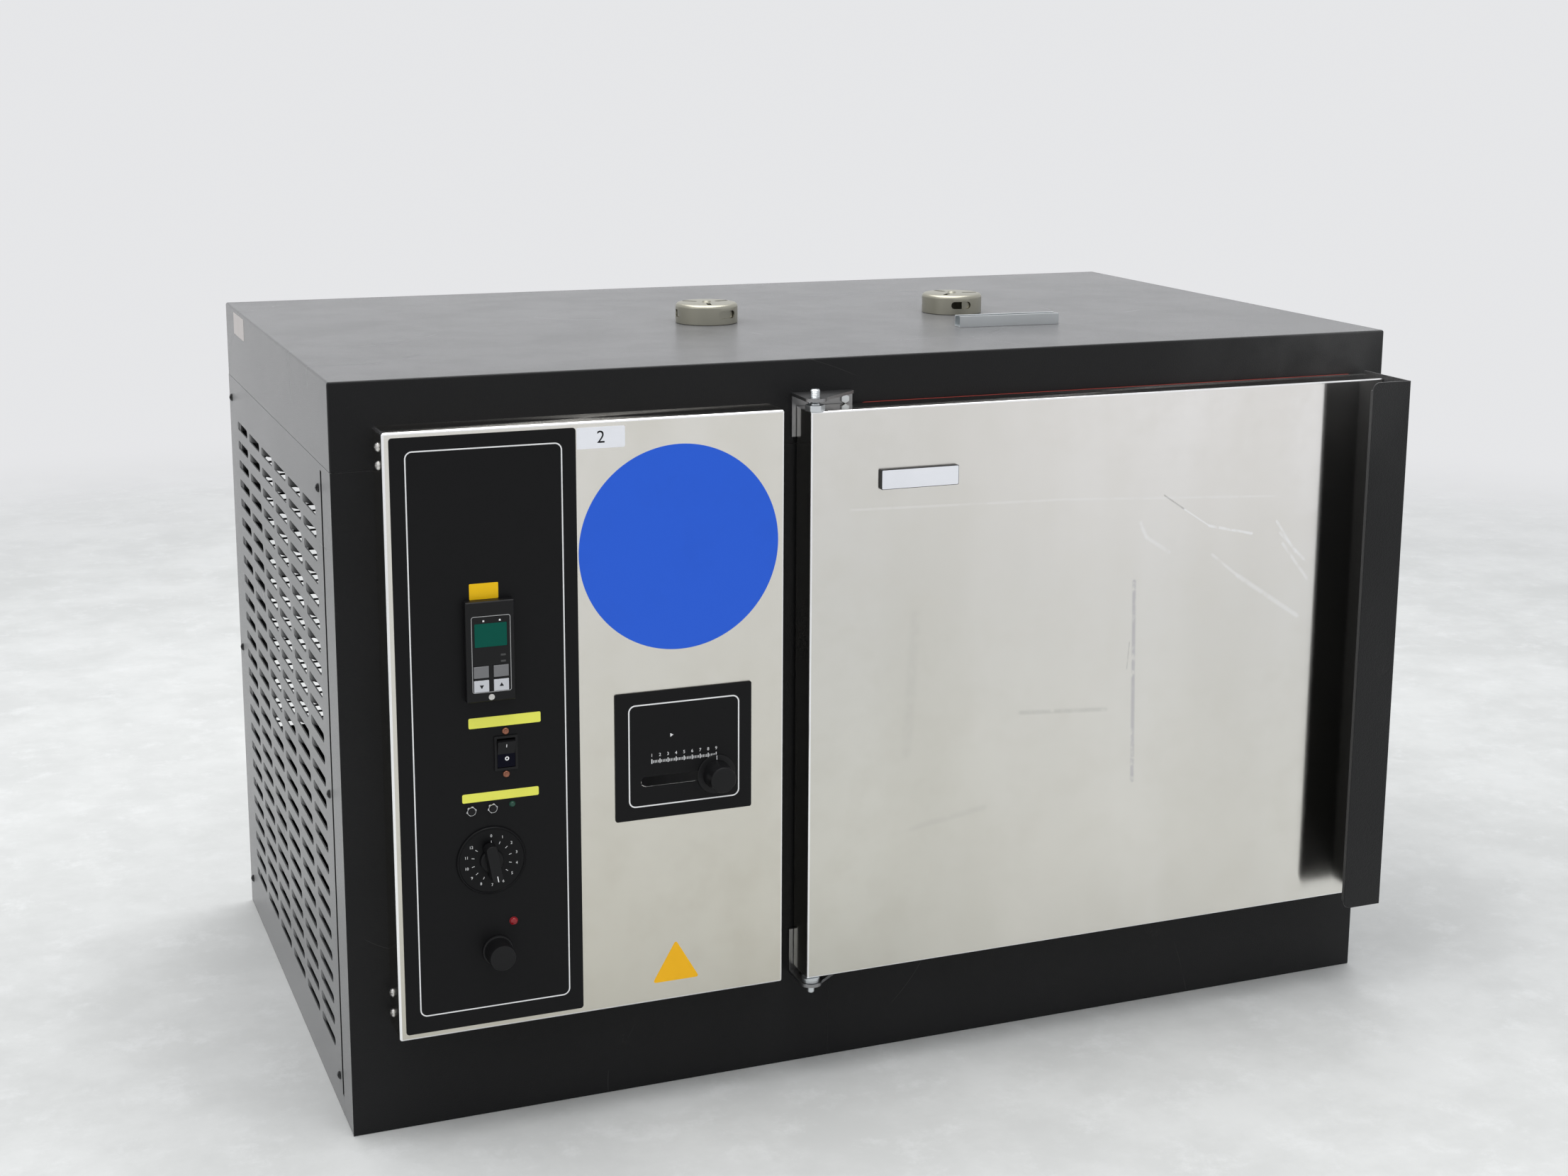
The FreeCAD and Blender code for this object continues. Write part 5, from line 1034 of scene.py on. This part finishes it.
# %% Keys
for node, material in (("left_grey_key", key_grey), ("right_grey_key", key_grey),
                       ("down_key", key_white), ("up_key", key_white)):
    soften_node(node, 0.5, material, segments=3)
KEY_FACE = BEZEL - 0.8
finish(wedge("down_sign", (121.5, 446.3), 2.3, 180, KEY_FACE), ink_black, "down_key")
finish(wedge("up_sign", (140, 446.3), 2.3, 0, KEY_FACE), ink_black, "up_key")
print("keys ready")

# %% [markdown]
# ## Switch, rivets, buttons and lamps
#
# The rocker is tipped to its off side. Two copper rivets hold the switch. Each push button stands in
# a chrome ring nut. A green and a red lens show the heating and the limit.

# %% Pieces at an angle
def set_in_place(piece, place, angle, axis):
    """Move a piece that was made at the oven's corner to a place, and turn it there."""
    choose(piece)
    bpy.ops.transform.translate(value=at(*place) - at(0, 0, 0))
    bpy.ops.transform.rotate(value=angle, orient_axis=axis, center_override=tuple(at(*place)))
    return settle(piece.name)


print("placing tool ready")

# %% Rocker switch
soften_node("rocker_bezel", 0.35, control_black)
ROCKER_MIDDLE = 377.2
rocker_piece = soften_node("rocker", 0.45, rocker_gloss, segments=3, angle=12)
rocker_piece.data.materials.append(rocker_navy)
for polygon in rocker_piece.data.polygons:
    if polygon.normal.y < -0.9 and polygon.center.z < ROCKER_MIDDLE * MM:
        polygon.material_index = 1
UPPER_TILT = math.radians(16.1)
on_sign = bar("rocker_on_sign", (-0.35, 0.35), (-0.07, 0.01), (-1.7, 1.7))
set_in_place(on_sign, (144.9, OVERLAY - 4.05, 385.6), -UPPER_TILT, "X")
off_sign = turned("rocker_off_sign", [(0.9, 0), (0.9, 0.07), (2.0, 0.07), (2.0, 0), (0.9, 0)],
                  (145.6, OVERLAY - 1.55, 372.6), FRONTWARD, sides=28)
finish(join("rocker_signs", [on_sign, off_sign]), print_white, "rocker")
print("rocker pieces:", rocker_piece.name, "rocker_signs")


# %% Six-sided bars
def hexagon(name, radius, depth, place, turn):
    """A six-sided bar about a place; radius and depth in millimetres, turn in radians."""
    begin()
    bpy.ops.mesh.primitive_cylinder_add(vertices=6, radius=radius * MM, depth=depth * MM, location=at(*place),
                                        rotation=turn)
    return settle(name)


print("hexagon tool ready")

# %% Rivets, ring nuts and lamps
rivet = turned("panel_rivet", [(0, 0.85), (1.3, 0.9), (1.9, 1.45), (2.6, 1.55), (3.2, 1.1), (3.5, 0.35),
                               (3.5, 0), (0, 0)], None, FRONTWARD, sides=32)
rivets = copies(rivet, [at(145, OVERLAY, z) for z in (398.7, 357.3)])
finish(join("rivet_heads", rivets), copper, "oven", ("panel_rivets",))

rings = []
for name, node, x, z in (("off_ring", "off_button", 111, 325.5), ("reset_ring", "reset_button", 131, 326)):
    nut = hexagon(name + "_nut", 5.0, 2.0, (x, OVERLAY - 1.0, z), (math.pi / 2, 0.3, 0))
    soften(nut, 0.45, segments=2)
    bore = turned("bore", [(0, -9), (3.55, -9), (3.55, 9), (0, 9)], (x, OVERLAY, z), FRONTWARD, sides=32)
    cut(nut, bore)
    barrel = turned(name, [(3.5, -8), (3.5, 2.7), (3.75, 3.0), (4.1, 2.9), (4.25, 2.5), (4.25, 0), (4.1, -8)],
                    (x, OVERLAY, z), FRONTWARD, sides=36)
    rings += [nut, barrel]
    pusher = turned(node + "_cap", [(0, 4.2), (2.2, 4.15), (2.9, 3.9), (3.15, 3.4), (3.15, -6), (0, -6)],
                    (x, OVERLAY, z), FRONTWARD, sides=32)
    finish(pusher, control_black, node, (node,))
finish(join("button_rings", rings), chrome, "oven", ("button_bushings",))

LENS_CURVE = ((0, 0.9), (0.35, 0.87), (0.65, 0.75), (0.86, 0.52), (0.93, 0.25), (0.93, 0.12), (1, 0.1),
              (1, 0), (0, 0))
for name, material, x, z, size in (("heating_lens", lens_green, 150, 327.5, 3.0),
                                   ("limit_lens", lens_red, 149, 212.3, 4.0)):
    lens = turned(name, [(radius * size, height * size) for radius, height in LENS_CURVE], (x, OVERLAY, z),
                  FRONTWARD, sides=36)
    finish(lens, material, "oven", ("panel_lamps",))
print("rivets, ring nuts and lamps ready")

# %% [markdown]
# ## Timer dial and its knob
#
# The dial is a black disc with a low rim. Its numbers run clockwise from 0 at the top to 12, with
# a short line inside each. The knob is a bar on a round skirt, and a white line at one end shows
# the set time, a little past 6.

# %% Dial
DIAL = (129.0, 275.3)
DIAL_STEP, DIAL_NUMBERS, DIAL_SHEET = 25.7, 13, 1.7
dial = turned("timer_dial", [(0, DIAL_SHEET), (30.6, DIAL_SHEET), (31.2, 2.4), (31.9, 2.5), (32.6, 2.0),
                             (33, 1.0), (33, 0), (0, 0)], (DIAL[0], OVERLAY, DIAL[1]), FRONTWARD, sides=96)
finish(dial, dial_black, "oven", ("timer_body",))
prints = []
for number in range(DIAL_NUMBERS):
    turn = math.radians(number * DIAL_STEP)
    centre = (DIAL[0] + 24.4 * math.sin(turn), DIAL[1] + 24.0 * math.cos(turn))
    prints.append(numeral(f"dial_{number}", str(number), centre, 2.7, OVERLAY - DIAL_SHEET))
    prints.append(stroke(f"dial_line_{number}", DIAL, number * DIAL_STEP, 16.8, 19.4, 0.5,
                         OVERLAY - DIAL_SHEET))
finish(join("dial_print", prints), print_white, "oven")
print("dial numbers:", DIAL_NUMBERS)

# %% Timer knob
POINTER = 170.0
DIAL_TOP, GRIP_HEIGHT, GRIP_HALF = OVERLAY - 2.9, 11.9, 19.0
knob = turned("timer_knob_skirt", [(0, 2.2), (10.0, 2.2), (10.8, 1.4), (11.2, 0), (0, 0)],
              (DIAL[0], DIAL_TOP, DIAL[1]), FRONTWARD, sides=48)
grip = rounded("timer_grip", (-5.9, 5.9), (-GRIP_HEIGHT, -1.9), (-GRIP_HALF, GRIP_HALF), 4.6)
edit(grip, "FACE")
pick(grip, "FACE", lambda face: face.normal.y < -0.9)
bpy.ops.transform.resize(value=(0.86, 1, 0.95), center_override=tuple(at(0, -GRIP_HEIGHT, 0)))
done()
soften(grip, 0.8, segments=3)
set_in_place(grip, (DIAL[0], DIAL_TOP, DIAL[1]), -math.radians(POINTER - 180), "Y")
finish(join("timer_bar_knob", [knob, grip]), control_black, "timer_knob", ("timer_knob",))
pointer = stroke("timer_pointer", DIAL, POINTER, 11.6, 17.4, 0.8, DIAL_TOP - GRIP_HEIGHT)
finish(pointer, print_white, "timer_knob")
print("pointer at", POINTER, "degrees from the top")

# %% [markdown]
# ## Limit knob and air slider
#
# The limit knob is a plain tapered cap on a low skirt. The air slider's plate has a white frame
# line, an arrow and a scale from 1 to 9 above its slot, and its knob is a thin disc with a pointer
# line and a cap.

# %% Limit knob
LIMIT = (133.0, 185.6)
cap = turned("limit_cap", [(0, 22.6), (6, 22.7), (10.9, 22.5), (12.1, 21.7), (12.5, 20.4), (13.1, 2.6),
                           (13.5, 2.2), (14.4, 2.0), (14.7, 1.3), (14.7, 0.1), (0, 0.1)],
             (LIMIT[0], OVERLAY - 0.4, LIMIT[1]), FRONTWARD, sides=64)
finish(cap, control_black, "limit_knob", ("limit_knob",))
print("limit knob ready")

# %% Air plate and its print
PLATE_SHEET = 1.5
PLATE = COVER - PLATE_SHEET
plate = rounded("air_scale_plate", (250, 387), (PLATE, COVER), (296, 422), 2.0)
air_slot = rounded("air_slot", (275.3, 361.7), (COVER - 3, COVER + 3), (328, 338), 4.99, segments=10)
cut(plate, air_slot)
soften(plate, 0.2)
finish(plate, overlay_black, "oven", ("air_plate",))
finish(outline("air_frame_line", (263, 374.5), (308.5, 410), 7, 1.3, PLATE), print_white, "oven")
SCALE_START, SCALE_STEP, SCALE_END = 286.1, 8.1, 9
prints = [wedge("air_arrow", (305.7, 377.1), 2.1, 90, PLATE)]
for number in range(1, SCALE_END + 1):
    x = SCALE_START + SCALE_STEP * (number - 1)
    prints.append(numeral(f"air_{number}", str(number), (x, 358.8), 3.1, PLATE))
    prints.append(bar(f"air_line_{number}", (x - 0.45, x + 0.45), (PLATE - PRINT_RISE, PLATE), (350.6, 355)))
    for minor in range(1, 5 if number < SCALE_END else 1):
        tick = x + SCALE_STEP * minor / 5
        prints.append(bar(f"air_tick_{number}_{minor}", (tick - 0.3, tick + 0.3), (PLATE - PRINT_RISE, PLATE),
                          (351.2, 353.8)))
finish(join("air_print", prints), print_white, "oven")
print("air plate print:", len(prints), "marks")

# %% Air knob
AIR = (351.0, 333.0)
disc = turned("air_disc", [(0, 1.4), (18.6, 1.4), (19.3, 1.0), (19.5, 0.4), (19.4, 0), (0, 0)],
              (AIR[0], PLATE - 0.4, AIR[1]), FRONTWARD, sides=72)
cap = turned("air_cap", [(0, 22.3), (3, 22.3), (10.8, 22.1), (12.3, 21.3), (12.9, 20.2), (13.7, 3.0),
                         (14.1, 1.9), (14.1, 1.3), (0, 1.3)],
             (AIR[0], PLATE - 0.4, AIR[1]), FRONTWARD, sides=64)
finish(join("air_slider_knob", [disc, cap]), control_black, "air_slider", ("air_knob",))
pointer = stroke("air_pointer", AIR, 0, 14.6, 18.8, 0.7, PLATE - 1.8)
finish(pointer, print_white, "air_slider")
print("air knob at", AIR)

# %% [markdown]
# ## Door furniture
#
# The handle is one angle strip along the door's free side, with slightly rounded edges. The door's
# sheet is folded back all round, and its folds carry the same painted highlight as the module's. A
# plain plate sits near the top of the door.

# %% Handle and door plate
soften_node("door_handle", 0.45, handle_coat, segments=3)
bright_folds(soften_node("door_shell", 0.9, door_steel, segments=3))
DOOR_FACE = front_of("door_shell")
plate_body = rounded("door_plate_body", (519.4, 602), (DOOR_FACE - 4.4, DOOR_FACE), (600.4, 620), 1.2)
soften(plate_body, 0.35)
finish(plate_body, control_black, "door")
plate_face = rounded("door_plate_face", (520.0, 601.4), (DOOR_FACE - 4.6, DOOR_FACE - 4.35),
                     (601.0, 619.4), 0.9)
finish(plate_face, label_white, "door")
print("door face at", round(DOOR_FACE, 2))

# %% [markdown]
# ## Hinges
#
# A threaded stud stands in the door's top corner with a lock nut, and passes up through the upper
# bracket. The brackets are dull plated steel, held by hexagon screws.

# %% Brackets, stud, nut and pin
PIN = (453.5, -36.0)
for node in ("top_hinge_bracket", "bottom_hinge_bracket"):
    soften_node(node, 0.5, bracket_steel, segments=2)
NUT_ACROSS_FLATS = 17
THREAD_TOP, THREAD_END, THREAD_PITCH = 19.8, 7.5, 1.2
thread = [(0, 21.0), (3.6, 21.0), (4.4, 20.2)]
height = THREAD_TOP
while height > THREAD_END:
    thread += [(4.8, height), (4.35, height - THREAD_PITCH / 2)]
    height -= THREAD_PITCH
thread += [(4.7, height), (4.7, 0), (0, 0)]
stud = turned("hinge_stud", thread, (*PIN, 680), UPWARD, sides=28)
nut = hexagon("lock_nut", NUT_ACROSS_FLATS / math.sqrt(3), 6.2, (*PIN, 683.1), (0, 0, math.radians(12)))
soften(nut, 0.8, segments=3)
hole = turned("hole", [(0, -9), (4.85, -9), (4.85, 9), (0, 9)], (*PIN, 683), UPWARD, sides=28)
cut(nut, hole)
pin = turned("lower_pin", [(0, 0), (9, 0), (9, -2.0), (8.6, -2.6), (8.6, -4.6), (3.75, -4.6), (3.75, -15.5),
                           (3.0, -16.5), (0, -16.5)], (*PIN, 106), UPWARD, sides=36)
finish(join("hinge_pins", [stud, nut, pin]), zinc, "door", ("hinge_studs",))
screws = []
for x in (463.5, 497.7):
    screw = hexagon("bracket_screw", 4.6, 2.6, (x, -4.3, 684.6), (math.pi / 2, 0, 0))
    soften(screw, 0.5, segments=2)
    screws.append(screw)
finish(join("bracket_screws", screws), zinc, "oven")
print("stud and nut on the pin line", PIN)

# %% [markdown]
# ## Vents and the loose channel
#
# Each vent is a nickel cap that turns over a fixed collar. Its top edge is rounded, three slots
# radiate on its top, and three round-ended windows let the air out at the side. A folded channel of
# plated sheet lies loose beside them.

# %% Vent caps
CAP_TURNS = {"left_vent_cap": 48.0, "right_vent_cap": 18.0}
CAP_BASE, FIRST_WINDOW, SLIT_TURN = 725.4, 246, math.radians(-156)
CAP_PROFILE = [(0, 21.6), (28.5, 21.6), (31.4, 21.0), (33.0, 19.5), (33.5, 17.5), (33.5, 0.4), (33.2, 0),
               (32.1, 0), (31.9, 0.4), (31.9, 19.4), (30.6, 20.0), (0, 20.0)]
BOLT_PROFILE = [(0, 2.0), (2.8, 1.9), (4.2, 1.3), (5.0, 0), (5.0, -0.2), (2.5, -0.2), (2.5, -7.6), (0, -7.6)]
for node, place in (("left_vent_cap", (461.0, 295.0)), ("right_vent_cap", (754.0, 295.0))):
    cap = turned(node + "_shell", CAP_PROFILE, (*place, CAP_BASE), UPWARD, sides=96)
    for window in range(3):
        turn = math.radians(FIRST_WINDOW + 120 * window + CAP_TURNS[node])
        opening = rounded("opening", (24, 42), (-11.4, 11.4), (6.6, 14.6), 3.99, along=0, segments=8)
        slit = rounded("slit", (11.5, 28.5), (-2.3, 2.3), (15, 25), 2.29, along=2, segments=6)
        for tool, more in ((opening, 0.0), (slit, SLIT_TURN)):
            cut(cap, set_in_place(tool, (*place, CAP_BASE), -(turn + more), "Z"))
    bolt = turned(node + "_bolt", BOLT_PROFILE, (*place, CAP_BASE + CAP_PROFILE[0][1]), UPWARD, sides=28)
    soften(cap, 0.25, segments=2, angle=40)
    finish(join(node + "_dress", [cap, bolt]), nickel, node, (node,))
print("vent caps:", list(CAP_TURNS))

# %% Loose channel
soften_node("spare_channel", 0.3, zinc)
print("loose channel softened")

# %% [markdown]
# ## Labels
#
# The oven carries plain stickers: an amber tag and two yellow strips on the front sheet, a large blue
# disc, an amber triangle, a white tag with the number 2, and a white sticker on the left skirt. Each
# is a thin film, and all but the disc have rounded corners.

# %% Labels
FILM = 0.14


def label(name, x, z, face, material, slot, radius=0.8):
    """A film with rounded corners on the front of a sheet."""
    piece = rounded(name, x, (face - FILM, face), z, radius, segments=4)
    soften(piece, 0.05, segments=1)
    return finish(piece, material, "oven")


label("tag_amber", (114, 141), (525.7, 540.6), OVERLAY, label_amber, "display")
label("strip_upper", (110.5, 178.5), (404, 414), OVERLAY, label_yellow, "display", radius=1.4)
label("strip_lower", (103, 175.5), (333.3, 341.8), OVERLAY, label_yellow, "display", radius=1.4)
label("number_tag", (216.8, 263), (658, 678), COVER, label_white, "key_white", radius=1.5)
finish(numeral("number_tag_print", "2", (239.9, 668), 11.5, COVER - FILM), ink_black, "oven")
sticker = turned("round_sticker", [(0, 0.16), (98.2, 0.16), (98.5, 0.08), (98.5, 0), (0, 0)],
                 (315.9, COVER, 559), FRONTWARD, sides=128)
finish(sticker, label_blue, "oven")
triangle = wedge("triangle_sticker", (309.6, 140.8), 27.5, 0, COVER, rise=FILM, rounding=3.5)
finish(triangle, label_triangle, "oven")
side_label = rounded("side_sticker", (-FILM, 0), (505, 580), (697, 721), 1.5, along=0, segments=4)
finish(side_label, label_paper, "oven")
print("labels ready")

# %% [markdown]
# ## Floor, world and lamps
#
# The photograph has a pale wall and a pale concrete floor. A floor disc fades out into the world's
# pale colour at its rim, so the oven stands on something from every side, and no wall hides it
# from behind. The room lights the oven more from above than from the sides. The lamps are broad and
# soft: a large one above and a weak one on the left.

# %% Floor
FLOOR_RADIUS, FLOOR_FADE = 5.0, (2.1, 3.6)
bpy.ops.object.select_all(action="DESELECT")
bpy.ops.mesh.primitive_circle_add(vertices=96, radius=FLOOR_RADIUS, fill_type="NGON", location=(0, 0, 0))
floor = bpy.context.object
floor.name = "floor"
floor_material, tree, shader = new_material("pale_concrete", (0.6, 0.6, 0.59), 0.75, specular=0.3)
place = object_place(tree)
clouds = ramp(tree, noise(tree, place, 4.5, 10.0, 0.68), 0.36, 0.66)
chalk = ramp(tree, noise(tree, place, 16.0, 8.0, 0.75), 0.5, 0.7, 0.0, 0.5)
colour = blend_colour(tree, clouds, (0.56, 0.565, 0.555), (0.63, 0.635, 0.625))
colour = blend_colour(tree, chalk, colour, (0.7, 0.705, 0.7))
tree.links.new(colour, shader.inputs["Base Color"])
fade = ramp(tree, vector_maths(tree, "LENGTH", place), *FLOOR_FADE)
joined = tree.nodes.new("ShaderNodeMixShader")
fill(tree, joined.inputs, (fade, shader.outputs[0], add(tree, "ShaderNodeBsdfTransparent").outputs[0]))
tree.links.new(joined.outputs[0], tree.nodes["Material Output"].inputs["Surface"])
floor.data.materials.append(floor_material)
print("floor radius", FLOOR_RADIUS)

# %% World
world = bpy.data.worlds.new("pale_room")
bpy.context.scene.world = world
world.use_nodes = True
tree = world.node_tree
tree.nodes.clear()
seen = add(tree, "ShaderNodeBackground", Color=(0.79, 0.795, 0.81, 1), Strength=1.0)
lit = add(tree, "ShaderNodeBackground", Color=(0.9, 0.92, 0.95, 1))
skyward = part_of(tree, add(tree, "ShaderNodeTexCoord").outputs["Generated"], "Z")
tree.links.new(ramp(tree, skyward, -0.2, 0.9, 0.52, 0.95), lit.inputs["Strength"])
rays = tree.nodes.new("ShaderNodeLightPath")
direct = maths(tree, "MAXIMUM", rays.outputs["Is Camera Ray"],
               maths(tree, "MAXIMUM", rays.outputs["Is Glossy Ray"], rays.outputs["Is Transmission Ray"]))
mixed = tree.nodes.new("ShaderNodeMixShader")
fill(tree, mixed.inputs, (direct, lit.outputs[0], seen.outputs[0]))
tree.links.new(mixed.outputs[0], tree.nodes.new("ShaderNodeOutputWorld").inputs["Surface"])
print("world", world.name)


# %% Lamps
def soft_lamp(name, place, aim, width, height, power):
    """A rectangular lamp that faces a point."""
    data = bpy.data.lights.new(name, "AREA")
    data.shape = "RECTANGLE"
    data.size = width
    data.size_y = height
    data.energy = power
    lamp = bpy.data.objects.new(name, data)
    bpy.context.scene.collection.objects.link(lamp)
    lamp.location = place
    lamp.rotation_euler = (Vector(aim) - Vector(place)).to_track_quat("-Z", "Y").to_euler()
    return lamp


soft_lamp("lamp_above", (-0.2, 0.1, 3.0), (0, 0, 0.4), 3.4, 2.8, 90)
soft_lamp("lamp_left", (-3.2, -1.0, 2.2), (-0.2, 0, 0.4), 2.4, 2.0, 7)
print("lamps ready")

# %% View settings
bpy.context.scene.view_settings.view_transform = "Standard"
bpy.context.view_layer.update()
